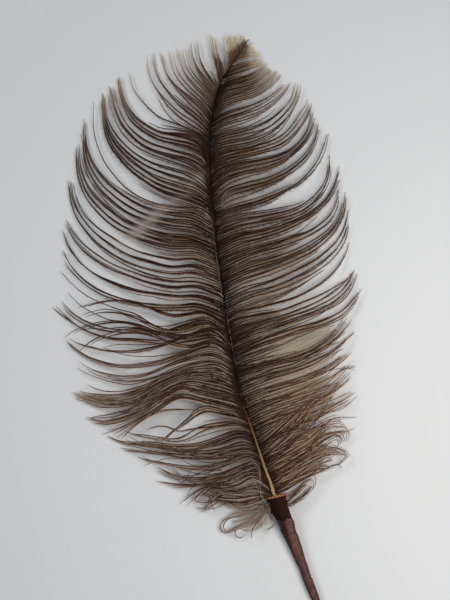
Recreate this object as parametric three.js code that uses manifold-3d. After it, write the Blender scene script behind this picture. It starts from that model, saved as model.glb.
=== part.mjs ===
// A brown ostrich plume with a bound quill, lying on a flat surface.
// Millimetres. +Z is up from the surface, +Y runs towards the plume's tip.
// The feather is one grown piece: a shaft with a thin arched vane on each side.
// A band grips the quill under the lowest barbs, and a ribbon is wound in
// overlapping turns down the rest of the quill.

import * as THREE from 'three';
import { mergeVertices } from 'three/addons/utils/BufferGeometryUtils.js';
import Module from 'manifold-3d';

const wasm = await Module();
wasm.setup();

// ---- driving dimensions -------------------------------------------------

const CLEARANCE = 0.35; // gap kept between neighbouring pieces
const VANE_EDGE = 1.2; // vane thickness at the barb tips
const VANE_ROOT = 2.2; // vane thickness beside the shaft
const VANE_CELLS = [20, 28]; // grid of the arched vane, across and along
const VANE_MARGIN = 3; // how far the grid reaches past the outline
const ARCH_POWER = 1.8; // how the vane falls from the shaft to its edge
const COLLAR_MOUTH = 5.2; // radius of the band's open upper mouth
const COLLAR_THROAT = 2.6; // radius of the band's bore lower down
const RIM_HEIGHT = 0.45; // how far the band's rolled rim stands out
const LAP_PITCH = 21; // length of one ribbon turn along the quill
const LAP_HEIGHT = 0.35; // step where one ribbon turn covers the last

// Shaft, from the tip to the end of the quill: x, y, z, radius.
const SHAFT = [
  [21.0, 236.9, 2.79, 0.45],
  [13.3, 224.4, 3.83, 0.60],
  [5.3, 210.6, 5.02, 0.75],
  [-2.6, 196.9, 6.25, 0.81],
  [-8.3, 177.4, 8.00, 0.88],
  [-12.2, 153.6, 9.67, 0.94],
  [-13.4, 130.1, 11.33, 1.00],
  [-12.9, 107.1, 12.47, 1.05],
  [-11.1, 84.5, 13.25, 1.10],
  [-8.1, 62.1, 14.03, 1.15],
  [-4.6, 31.4, 14.62, 1.20],
  [-0.8, -3.2, 14.88, 1.25],
  [2.9, -28.6, 14.75, 1.30],
  [6.6, -53.8, 14.00, 1.38],
  [11.1, -78.6, 13.25, 1.45],
  [16.0, -95.0, 12.50, 1.53],
  [19.7, -104.4, 11.92, 1.60],
  [25.0, -119.4, 11.00, 1.73],
  [31.8, -140.0, 9.65, 1.87],
  [37.4, -155.4, 8.45, 2.00],
  [40.1, -163.7, 7.40, 2.10],
  [44.2, -174.0, 6.70, 2.10],
  [48.9, -184.0, 6.00, 2.10],
  [52.0, -192.7, 5.10, 2.10],
  [56.6, -203.8, 4.35, 2.00],
  [62.1, -217.3, 3.60, 1.90],
  [67.2, -232.4, 3.55, 1.75],
  [72.9, -246.5, 3.00, 1.60],
  [79.9, -265.2, 2.85, 1.53],
  [86.9, -284.0, 2.80, 1.47],
  [92.8, -299.9, 2.80, 1.40],
];

// Band around the quill: x, y, z, half width, half height.
const COLLAR = [
  [41.5, -164.8, 6.88, 8.00, 6.88],
  [43.7, -174.0, 6.71, 7.80, 6.71],
  [45.7, -178.8, 6.11, 7.10, 6.11],
  [47.3, -182.2, 5.07, 5.90, 5.07],
];

// Ribbon-wound stem: x, y, z, half width, half height.
const WRAP = [
  [48.9, -183.8, 6.07, 6.60, 6.07],
  [52.0, -192.7, 4.97, 5.40, 4.97],
  [56.6, -203.8, 4.23, 4.60, 4.23],
  [62.1, -217.3, 3.54, 3.85, 3.54],
  [67.2, -232.4, 3.50, 3.80, 3.50],
  [72.9, -246.5, 2.94, 3.20, 2.94],
  [79.9, -265.2, 2.82, 3.00, 2.82],
  [86.9, -284.0, 2.73, 2.90, 2.73],
  [93.8, -302.7, 2.63, 2.80, 2.63],
];

// Height of the arched vane over the shaft: y, height.
const ARCH = [
  [-215.2, 5.0],
  [-183.6, 7.0],
  [-163.7, 7.8],
  [-135.6, 10.0],
  [-86.8, 13.0],
  [-20.2, 15.0],
  [48.8, 14.5],
  [120.8, 12.0],
  [177.4, 8.0],
  [216.5, 4.5],
  [246.4, 2.0],
];

// Half width of the arch: y, left of the shaft, right of the shaft.
const SPAN = [
  [-203.4, 51.0, 25.5],
  [-167.5, 83.3, 30.6],
  [-135.0, 106.2, 73.1],
  [-102.1, 138.5, 91.8],
  [-68.7, 142.8, 100.3],
  [-34.8, 146.2, 107.1],
  [-0.3, 146.2, 115.6],
  [34.7, 134.3, 108.8],
  [70.2, 126.6, 113.0],
  [106.2, 119.8, 109.6],
  [142.9, 108.8, 100.3],
  [180.1, 95.2, 71.4],
  [198.9, 78.2, 42.5],
  [217.9, 63.8, 27.2],
  [246.6, 42.5, 17.0],
];

// Outline of both vanes and the loose down, through the tips of the barbs.
const OUTLINE = [
  [21.4, 238.9], [24.1, 233.2], [29.4, 227.4], [32.9, 220.7], [34.7, 216.0], [40.9, 216.0], [43.5, 209.3], [50.5, 204.6],
  [53.1, 197.0], [59.3, 197.0], [61.1, 198.9], [62.8, 191.3], [68.1, 195.1], [69.8, 187.6], [74.2, 184.8], [77.6, 178.2],
  [82.7, 166.0], [86.0, 154.9], [90.3, 153.0], [91.9, 141.0], [93.4, 131.8], [96.8, 124.5], [99.3, 120.8], [100.8, 108.0],
  [103.2, 99.0], [105.6, 89.9], [107.0, 74.6], [107.6, 63.0], [106.4, 49.7], [105.3, 38.2], [108.5, 29.4], [111.9, 28.5],
  [114.2, 20.6], [116.6, 11.9], [115.5, 3.2], [111.9, -5.5], [109.1, -14.2], [110.5, -27.9], [108.6, -37.3], [111.8, -45.0],
  [113.2, -53.5], [109.7, -61.9], [107.8, -68.7], [111.8, -77.1], [108.3, -84.6], [105.6, -91.3], [112.9, -98.0], [113.6, -104.6],
  [106.0, -112.0], [105.7, -121.1], [103.0, -131.8], [97.1, -139.9], [95.3, -144.8], [86.3, -143.2], [77.2, -149.7], [74.6, -156.2],
  [69.6, -163.4], [62.9, -169.9], [55.5, -174.7], [53.4, -177.1], [51.5, -167.5], [50.2, -160.7], [32.4, -165.2], [34.7, -176.3],
  [39.5, -182.3], [41.5, -186.7], [39.0, -191.5], [33.3, -193.1], [27.6, -191.5], [25.2, -194.7], [23.5, -200.2], [20.3, -200.2],
  [17.9, -196.3], [13.8, -199.5], [8.1, -197.9], [4.9, -194.7], [-0.8, -195.5], [-5.7, -191.5], [-7.3, -185.1], [-4.9, -179.5],
  [-9.8, -178.7], [-16.3, -176.3], [-22.0, -180.3], [-27.8, -173.9], [-34.3, -173.1], [-42.5, -171.5], [-44.1, -167.5], [-39.3, -161.0],
  [-49.2, -157.0], [-61.5, -153.7], [-63.2, -149.7], [-55.0, -148.1], [-56.7, -144.0], [-61.7, -139.9], [-65.8, -138.3], [-68.4, -131.8],
  [-78.3, -131.8], [-81.7, -128.5], [-90.8, -125.2], [-91.7, -120.3], [-100.9, -115.3], [-108.4, -113.7], [-104.4, -108.7], [-112.7, -106.2],
  [-115.3, -101.3], [-120.4, -99.6], [-117.2, -94.6], [-123.1, -90.5], [-128.2, -85.5], [-131.0, -77.9], [-122.7, -75.4], [-118.7, -69.5],
  [-128.1, -60.3], [-138.5, -50.9], [-139.6, -42.4], [-135.5, -39.0], [-142.3, -37.3], [-139.1, -30.5], [-132.5, -24.5], [-139.5, -15.9],
  [-149.2, -6.4], [-150.2, -2.1], [-143.4, 0.5], [-136.8, 6.6], [-141.5, 20.6], [-141.8, 29.4], [-143.8, 38.2], [-141.5, 47.0],
  [-142.7, 59.5], [-142.2, 69.3], [-139.9, 80.9], [-137.7, 91.7], [-138.1, 106.2], [-136.6, 113.5], [-131.1, 106.2], [-130.9, 128.1],
  [-128.7, 142.9], [-124.8, 161.4], [-120.6, 168.8], [-116.4, 180.1], [-109.7, 193.2], [-100.0, 195.1], [-95.7, 202.7], [-92.3, 208.4],
  [-84.3, 210.3], [-78.2, 213.1], [-73.0, 221.7], [-65.0, 225.5], [-59.7, 230.3], [-52.6, 229.3], [-45.5, 231.2], [-40.1, 232.2],
  [-33.0, 235.1], [-28.6, 237.0], [-23.2, 240.8], [-17.9, 237.0], [-14.3, 245.6], [-10.7, 240.8], [-5.4, 235.1], [-0.9, 241.8],
  [6.3, 240.8], [13.4, 239.9],
];

// Places where the barbs part and leave the surface bare.
const PARTINGS = [
  // upper left wedge
  [
    [-77.4, 217.9], [-72.0, 216.0], [-69.1, 202.7], [-63.6, 189.5], [-57.3, 178.2], [-48.4, 167.9], [-36.0, 157.7], [-48.3, 158.6],
    [-59.8, 163.2], [-71.4, 175.4], [-80.5, 191.3], [-83.8, 204.6],
  ],
  // wedge below the single barb
  [
    [-87.1, 216.0], [-86.0, 202.7], [-82.2, 189.5], [-74.0, 176.3], [-63.3, 165.1], [-51.8, 158.1], [-41.2, 154.4], [-51.8, 154.0],
    [-64.1, 158.6], [-74.7, 165.1], [-85.6, 180.1], [-90.3, 195.1], [-91.0, 212.2],
  ],
  // left wedge
  [
    [-114.9, 187.6], [-109.3, 195.1], [-107.9, 170.7], [-106.5, 150.2], [-100.5, 133.6], [-89.6, 116.2], [-69.4, 98.1], [-45.8, 85.4],
    [-22.5, 81.4], [-43.2, 80.9], [-56.2, 82.7], [-70.9, 87.2], [-86.7, 99.0], [-100.0, 113.5], [-110.0, 130.0], [-114.3, 147.5],
    [-114.9, 168.8],
  ],
  // strand gap
  [
    [-121.3, 180.1], [-117.4, 181.9], [-116.9, 163.2], [-116.7, 146.5], [-112.1, 129.0], [-102.6, 113.5], [-90.2, 100.8], [-77.0, 90.8],
    [-91.0, 97.2], [-105.2, 110.8], [-116.0, 124.5], [-120.2, 135.5], [-121.0, 152.1],
  ],
  // left edge gap
  [
    [-144.1, 133.6], [-131.9, 133.6], [-129.7, 115.3], [-125.8, 99.9], [-116.7, 85.4], [-104.4, 74.6], [-114.8, 79.1], [-125.5, 90.8],
    [-129.2, 100.8], [-136.7, 119.9],
  ],
  // tip gap
  [
    [-3.6, 246.6], [-0.9, 235.1], [2.2, 219.8], [1.3, 208.4], [-1.8, 216.0], [-6.2, 231.2], [-9.8, 243.7],
  ],
  // tuft gap
  [
    [-20.1, 246.6], [-15.2, 246.6], [-12.5, 232.2], [-9.8, 217.9], [-5.3, 204.6], [-13.3, 211.2], [-17.8, 221.7], [-19.6, 233.2],
  ],
  // upper right gap
  [
    [92.6, 135.5], [90.2, 142.9], [81.1, 126.3], [68.6, 109.0], [56.3, 97.2], [40.7, 88.1], [23.3, 80.9], [31.9, 78.2],
    [51.8, 82.7], [66.6, 89.0], [78.9, 99.0], [87.0, 113.5],
  ],
  // right gap
  [
    [105.1, 32.9], [99.8, 21.5], [89.3, 9.2], [73.9, 1.4], [56.8, -5.5], [43.2, -9.8], [63.6, -5.5], [80.7, 1.4],
    [96.1, 10.1], [105.7, 18.8], [108.4, 27.6],
  ],
  // lower right window
  [
    [39.4, -50.9], [46.2, -43.3], [58.9, -36.5], [73.3, -30.5], [90.3, -25.3], [91.9, -29.6], [81.7, -36.5], [67.3, -41.6],
    [54.6, -47.5],
  ],
  // lower left window
  [
    [-106.9, -38.2], [-90.0, -39.0], [-71.5, -39.9], [-56.4, -39.5], [-41.2, -40.7], [-24.4, -40.7], [-37.8, -46.7], [-54.5, -50.9],
    [-71.3, -53.1], [-89.8, -52.6], [-104.9, -49.2], [-117.7, -42.4], [-120.4, -37.3],
  ],
  // drooping window
  [
    [-51.6, -92.1], [-44.1, -86.3], [-35.8, -85.5], [-28.3, -88.8], [-26.6, -93.0], [-37.4, -93.0],
  ],
  // hanging window
  [
    [-60.6, -102.1], [-55.7, -95.5], [-41.6, -95.0], [-31.6, -97.1], [-39.0, -105.4], [-47.2, -110.4], [-62.1, -110.4],
  ],
];

// ---- helpers --------------------------------------------------------------

function toSolid(geometry) {
  const bare = geometry.clone();
  bare.deleteAttribute('normal');
  bare.deleteAttribute('uv');
  const merged = mergeVertices(bare, 1e-5);
  return new wasm.Manifold(new wasm.Mesh({
    numProp: 3,
    vertProperties: new Float32Array(merged.attributes.position.array),
    triVerts: new Uint32Array(merged.index.array),
  }));
}

function toGeometry(solid) {
  const mesh = solid.getMesh();
  const geometry = new THREE.BufferGeometry();
  geometry.setAttribute('position', new THREE.BufferAttribute(new Float32Array(mesh.vertProperties), 3));
  geometry.setIndex(new THREE.BufferAttribute(new Uint32Array(mesh.triVerts), 1));
  geometry.computeVertexNormals();
  return geometry;
}

// Linear table lookup on a column of rows, by the row's first value.
function lookup(rows, at, column) {
  const up = rows[0][0] < rows[rows.length - 1][0] ? rows : [...rows].reverse();
  if (at <= up[0][0]) return up[0][column];
  for (let i = 1; i < up.length; i++) {
    if (at <= up[i][0]) {
      const f = (at - up[i - 1][0]) / (up[i][0] - up[i - 1][0]);
      return up[i - 1][column] + f * (up[i][column] - up[i - 1][column]);
    }
  }
  return up[up.length - 1][column];
}

// A closed tube of elliptical section along rows of x, y, z, half width and
// half height. relief(along, angle) adds to both half sizes.
function sweep(rows, sides, steps, relief = () => 0) {
  const path = new THREE.CatmullRomCurve3(rows.map((r) => new THREE.Vector3(r[0], r[1], r[2])), false, 'centripetal');
  const geometry = new THREE.CylinderGeometry(1, 1, 1, sides, steps);
  const position = geometry.attributes.position;
  const up = new THREE.Vector3(0, 0, 1);
  const length = path.getLength();
  for (let i = 0; i < position.count; i++) {
    const along = THREE.MathUtils.clamp(position.getY(i) + 0.5, 0, 1);
    const f = along * (rows.length - 1);
    const k = Math.min(Math.floor(f), rows.length - 2);
    const mix = (c) => rows[k][c] + (f - k) * (rows[k + 1][c] - rows[k][c]);
    const centre = path.getPoint(along);
    const forward = path.getTangent(along).normalize();
    const side = new THREE.Vector3().crossVectors(forward, up).normalize();
    const rise = new THREE.Vector3().crossVectors(side, forward).normalize();
    const x = position.getX(i);
    const z = position.getZ(i);
    const extra = x * x + z * z > 1e-6 ? relief(along * length, Math.atan2(z, x)) : 0;
    centre.addScaledVector(side, x * (mix(3) + extra)).addScaledVector(rise, z * (mix(4) + extra));
    position.setXYZ(i, centre.x, centre.y, centre.z);
  }
  return geometry;
}

function prism(points) {
  const shape = new THREE.Shape(points.map(([x, y]) => new THREE.Vector2(x, y)));
  const geometry = new THREE.ExtrudeGeometry(shape, { depth: 60, bevelEnabled: false, steps: 1 });
  geometry.translate(0, 0, -20);
  return toSolid(geometry);
}

// ---- the feather ------------------------------------------------------------

const shaftLine = SHAFT.map(([x, y]) => [y, x]).reverse();

// Mid-height of the vane over a point of the surface.
function vaneHeight(x, y) {
  const offset = x - lookup(shaftLine, y, 1);
  const half = lookup(SPAN, y, offset < 0 ? 1 : 2);
  const q = Math.min(1, Math.abs(offset) / half);
  return { q, height: lookup(ARCH, y, 1) * (1 - q ** ARCH_POWER) + VANE_EDGE / 2 };
}

function vane() {
  const box = new THREE.Box2().setFromPoints(OUTLINE.map(([x, y]) => new THREE.Vector2(x, y))).expandByScalar(VANE_MARGIN);
  const size = box.getSize(new THREE.Vector2());
  const centre = box.getCenter(new THREE.Vector2());
  const geometry = new THREE.BoxGeometry(size.x, size.y, 1, VANE_CELLS[0], VANE_CELLS[1], 1);
  const position = geometry.attributes.position;
  for (let i = 0; i < position.count; i++) {
    const x = position.getX(i) + centre.x;
    const y = position.getY(i) + centre.y;
    const { q, height } = vaneHeight(x, y);
    const thickness = VANE_EDGE + (VANE_ROOT - VANE_EDGE) * (1 - q);
    const z = position.getZ(i) > 0 ? height + thickness / 2 : Math.max(0, height - thickness / 2);
    position.setXYZ(i, x, y, z);
  }
  let solid = toSolid(geometry).intersect(prism(OUTLINE));
  for (const parting of PARTINGS) solid = solid.subtract(prism(parting));
  return solid;
}

function plume() {
  const keepOut = COLLAR.map(([x, y, z, a, b]) => [x, y, z, a + RIM_HEIGHT + CLEARANCE, b + RIM_HEIGHT + CLEARANCE]);
  const shaft = sweep(SHAFT.map(([x, y, z, r]) => [x, y, z, r, r]), 10, 34);
  const solid = vane().subtract(toSolid(sweep(keepOut, 16, 4))).add(toSolid(shaft));
  const pieces = solid.decompose();
  pieces.sort((a, b) => b.volume() - a.volume());
  return toGeometry(pieces[0]);
}

// ---- the binding --------------------------------------------------------------

function collar() {
  // A rolled rim runs around the mouth, on the first millimetres of the band.
  const outer = toSolid(sweep(COLLAR, 20, 12, (along) => RIM_HEIGHT * Math.max(0, 1 - (along / 1.6) ** 2)));
  const first = new THREE.Vector3(...COLLAR[0]);
  const next = new THREE.Vector3(...COLLAR[1]);
  const back = first.clone().sub(next).normalize();
  const mouth = first.clone().addScaledVector(back, 2);
  const quill = SHAFT.filter(([, y]) => y < -150 && y > -200).map(([x, y, z]) => new THREE.Vector3(x, y, z));
  const bore = [
    [mouth.x, mouth.y, quill[1].z, COLLAR_MOUTH, COLLAR_MOUTH],
    ...quill.slice(1, 3).map((p, i) => [p.x, p.y, p.z, i ? COLLAR_THROAT + 0.4 : COLLAR_MOUTH - 1.2, i ? COLLAR_THROAT + 0.4 : COLLAR_MOUTH - 1.2]),
    ...quill.slice(3).map((p) => [p.x, p.y, p.z, COLLAR_THROAT, COLLAR_THROAT]),
  ];
  return toGeometry(outer.subtract(toSolid(sweep(bore, 14, 8))));
}

function wrap() {
  // Each turn lies over the edge of the one before, so the surface steps
  // along a helix around the stem.
  const step = (along, angle) => {
    const phase = (((along / LAP_PITCH + angle / (2 * Math.PI)) % 1) + 1) % 1;
    return LAP_HEIGHT * (phase - 0.5);
  };
  const last = WRAP[WRAP.length - 1];
  const before = WRAP[WRAP.length - 2];
  const ahead = new THREE.Vector2(last[0] - before[0], last[1] - before[1]).normalize();
  const closed = (by, scale) => [last[0] + ahead.x * by, last[1] + ahead.y * by, last[2], last[3] * scale, last[4] * scale];
  const outer = toSolid(sweep([...WRAP, closed(1.1, 0.85), closed(1.9, 0.5)], 16, 64, step));
  // Blind bore for the quill, open at the band.
  const start = SHAFT.findIndex(([, y]) => y < -170);
  const quill = SHAFT.slice(start).map(([x, y, z, r]) => [x, y, z, r + CLEARANCE, r + CLEARANCE]);
  return toGeometry(outer.subtract(toSolid(sweep(quill, 10, 14))));
}

// ---- the object -------------------------------------------------------------

const group = new THREE.Group();

function addPiece(name, geometry, material) {
  const mesh = new THREE.Mesh(geometry, material);
  mesh.name = name;
  group.add(mesh);
}

addPiece('plume', plume(), new THREE.MeshStandardMaterial({ color: 0x4f3f33, roughness: 0.8, metalness: 0 }));
addPiece('collar_band', collar(), new THREE.MeshStandardMaterial({ color: 0x24110b, roughness: 0.7, metalness: 0 }));
addPiece('ribbon_wrap', wrap(), new THREE.MeshStandardMaterial({ color: 0x5c3128, roughness: 0.42, metalness: 0 }));

// The origin is under the middle of the whole object, on the surface it lies on.
const bounds = new THREE.Box3().setFromObject(group);
group.position.set(-(bounds.min.x + bounds.max.x) / 2, -(bounds.min.y + bounds.max.y) / 2, -bounds.min.z);
group.updateMatrixWorld(true);

export default group;
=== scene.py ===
import math

import bpy
import numpy as np
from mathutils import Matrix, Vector


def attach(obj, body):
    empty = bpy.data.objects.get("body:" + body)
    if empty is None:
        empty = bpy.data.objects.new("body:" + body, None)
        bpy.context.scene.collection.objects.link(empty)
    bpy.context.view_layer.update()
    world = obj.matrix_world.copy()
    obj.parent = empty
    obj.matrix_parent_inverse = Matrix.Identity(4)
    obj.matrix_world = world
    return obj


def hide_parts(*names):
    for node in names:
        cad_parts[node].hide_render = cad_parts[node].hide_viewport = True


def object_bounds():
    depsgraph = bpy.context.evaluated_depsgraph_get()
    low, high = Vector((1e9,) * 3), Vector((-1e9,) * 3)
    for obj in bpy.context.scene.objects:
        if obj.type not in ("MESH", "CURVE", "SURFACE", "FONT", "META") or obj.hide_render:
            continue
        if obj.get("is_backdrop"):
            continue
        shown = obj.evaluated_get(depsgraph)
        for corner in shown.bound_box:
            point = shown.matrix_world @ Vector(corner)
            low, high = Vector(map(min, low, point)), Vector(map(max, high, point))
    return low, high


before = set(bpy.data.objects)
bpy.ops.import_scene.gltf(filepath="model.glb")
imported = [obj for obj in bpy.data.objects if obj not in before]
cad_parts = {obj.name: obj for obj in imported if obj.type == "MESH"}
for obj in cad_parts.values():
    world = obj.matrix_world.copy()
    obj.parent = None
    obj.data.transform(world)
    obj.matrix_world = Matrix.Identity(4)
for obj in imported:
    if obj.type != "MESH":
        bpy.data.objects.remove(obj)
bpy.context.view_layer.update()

rng = np.random.default_rng(641)

# ---- camera ------------------------------------------------------------------
# The feather lies on a surface and the camera looks down on it at 78 degrees.
# Curves below are drawn in the 450x600 picture frame and carried into space by
# the same camera, at the height that the vane has there.

ELEVATION = math.radians(78.0)
DISTANCE = 950.0  # mm
FOCAL_PX = DISTANCE / 0.85
SHIFT = np.array([16.8, 29.6624, 0.4488])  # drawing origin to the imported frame, mm

CAMERA = np.array([0.0, -DISTANCE * math.cos(ELEVATION), DISTANCE * math.sin(ELEVATION)])
FORWARD = np.array([0.0, math.cos(ELEVATION), -math.sin(ELEVATION)])
UPWARD = np.array([0.0, math.sin(ELEVATION), math.cos(ELEVATION)])
RIGHTWARD = np.array([1.0, 0.0, 0.0])


def unproject(u, v, z):
    u, v, z = (np.asarray(a, float) for a in (u, v, z))
    ray = FORWARD + np.multiply.outer((u - 225) / FOCAL_PX, RIGHTWARD) + np.multiply.outer((300 - v) / FOCAL_PX, UPWARD)
    return CAMERA + ((z - CAMERA[2]) / ray[..., 2])[..., None] * ray


cam = bpy.data.objects.new("camera", bpy.data.cameras.new("camera"))
cam.data.sensor_width = 36.0
cam.data.lens = FOCAL_PX / 600 * 36
cam.location = (CAMERA + SHIFT) / 1000
cam.rotation_euler = (math.pi / 2 - ELEVATION, 0, 0)
cam.data.clip_start, cam.data.clip_end = 0.01, 20
bpy.context.collection.objects.link(cam)
bpy.context.scene.camera = cam
bpy.context.scene.view_settings.view_transform = "Standard"

# ---- the feather's measures, in mm ---------------------------------------------

# Shaft: x, y, z, radius.
SHAFT = np.array([
    [21.0, 236.9, 2.79, 0.45], [13.3, 224.4, 3.83, 0.60], [5.3, 210.6, 5.02, 0.75], [-2.6, 196.9, 6.25, 0.81],
    [-8.3, 177.4, 8.00, 0.88], [-12.2, 153.6, 9.67, 0.94], [-13.4, 130.1, 11.33, 1.00], [-12.9, 107.1, 12.47, 1.05],
    [-11.1, 84.5, 13.25, 1.10], [-8.1, 62.1, 14.03, 1.15], [-4.6, 31.4, 14.62, 1.20], [-0.8, -3.2, 14.88, 1.25],
    [2.9, -28.6, 14.75, 1.30], [6.6, -53.8, 14.00, 1.38], [11.1, -78.6, 13.25, 1.45], [16.0, -95.0, 12.50, 1.53],
    [19.7, -104.4, 11.92, 1.60], [25.0, -119.4, 11.00, 1.73], [31.8, -140.0, 9.65, 1.87], [37.4, -155.4, 8.45, 2.00],
    [40.1, -163.7, 7.40, 2.10], [44.2, -174.0, 6.70, 2.10], [48.9, -184.0, 6.00, 2.10], [52.0, -192.7, 5.10, 2.10]])
# Height of the arched vane over the shaft: y, height.
ARCH = np.array([
    [-215.2, 5.0], [-183.6, 7.0], [-163.7, 7.8], [-135.6, 10.0], [-86.8, 13.0], [-20.2, 15.0],
    [48.8, 14.5], [120.8, 12.0], [177.4, 8.0], [216.5, 4.5], [246.4, 2.0]])
# Half width of the arch: y, left, right.
SPAN = np.array([
    [-203.4, 51.0, 25.5], [-167.5, 83.3, 30.6], [-135.0, 106.2, 73.1], [-102.1, 138.5, 91.8], [-68.7, 142.8, 100.3],
    [-34.8, 146.2, 107.1], [-0.3, 146.2, 115.6], [34.7, 134.3, 108.8], [70.2, 126.6, 113.0], [106.2, 119.8, 109.6],
    [142.9, 108.8, 100.3], [180.1, 95.2, 71.4], [198.9, 78.2, 42.5], [217.9, 63.8, 27.2], [246.6, 42.5, 17.0]])
# Band round the quill: x, y, z, half width, half height.
COLLAR = np.array([
    [41.5, -164.8, 6.88, 8.00, 6.88], [43.7, -174.0, 6.71, 7.80, 6.71],
    [46.0, -179.6, 6.40, 7.30, 6.40], [48.4, -183.9, 6.10, 6.85, 6.10]])
# Ribbon-wound stem: x, y, z, half width, half height.
WRAP = np.array([
    [48.0, -182.0, 6.12, 6.30, 6.00], [48.9, -183.8, 6.07, 6.60, 6.07], [52.0, -192.7, 4.97, 5.40, 4.97], [56.6, -203.8, 4.23, 4.60, 4.23],
    [62.1, -217.3, 3.54, 3.85, 3.54], [67.2, -232.4, 3.50, 3.80, 3.50], [72.9, -246.5, 2.94, 3.20, 2.94],
    [79.9, -265.2, 2.82, 3.00, 2.82], [86.9, -284.0, 2.73, 2.90, 2.73], [93.8, -302.7, 2.63, 2.80, 2.63]])

# Shaft in the picture: u, v.
RACHIS = np.array([
    (248.5, 39.5), (240, 52), (231, 66), (222, 80), (215.5, 100), (211, 125), (209.5, 150), (210, 175), (212, 200),
    (215.5, 225), (219.5, 260), (224, 300), (228.5, 330), (233, 360), (238.5, 390), (244.5, 410), (249, 421.5),
    (255.5, 440), (264, 465.5), (271, 484.6), (274.5, 496), (279.5, 508), (285.3, 520.5)])

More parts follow.
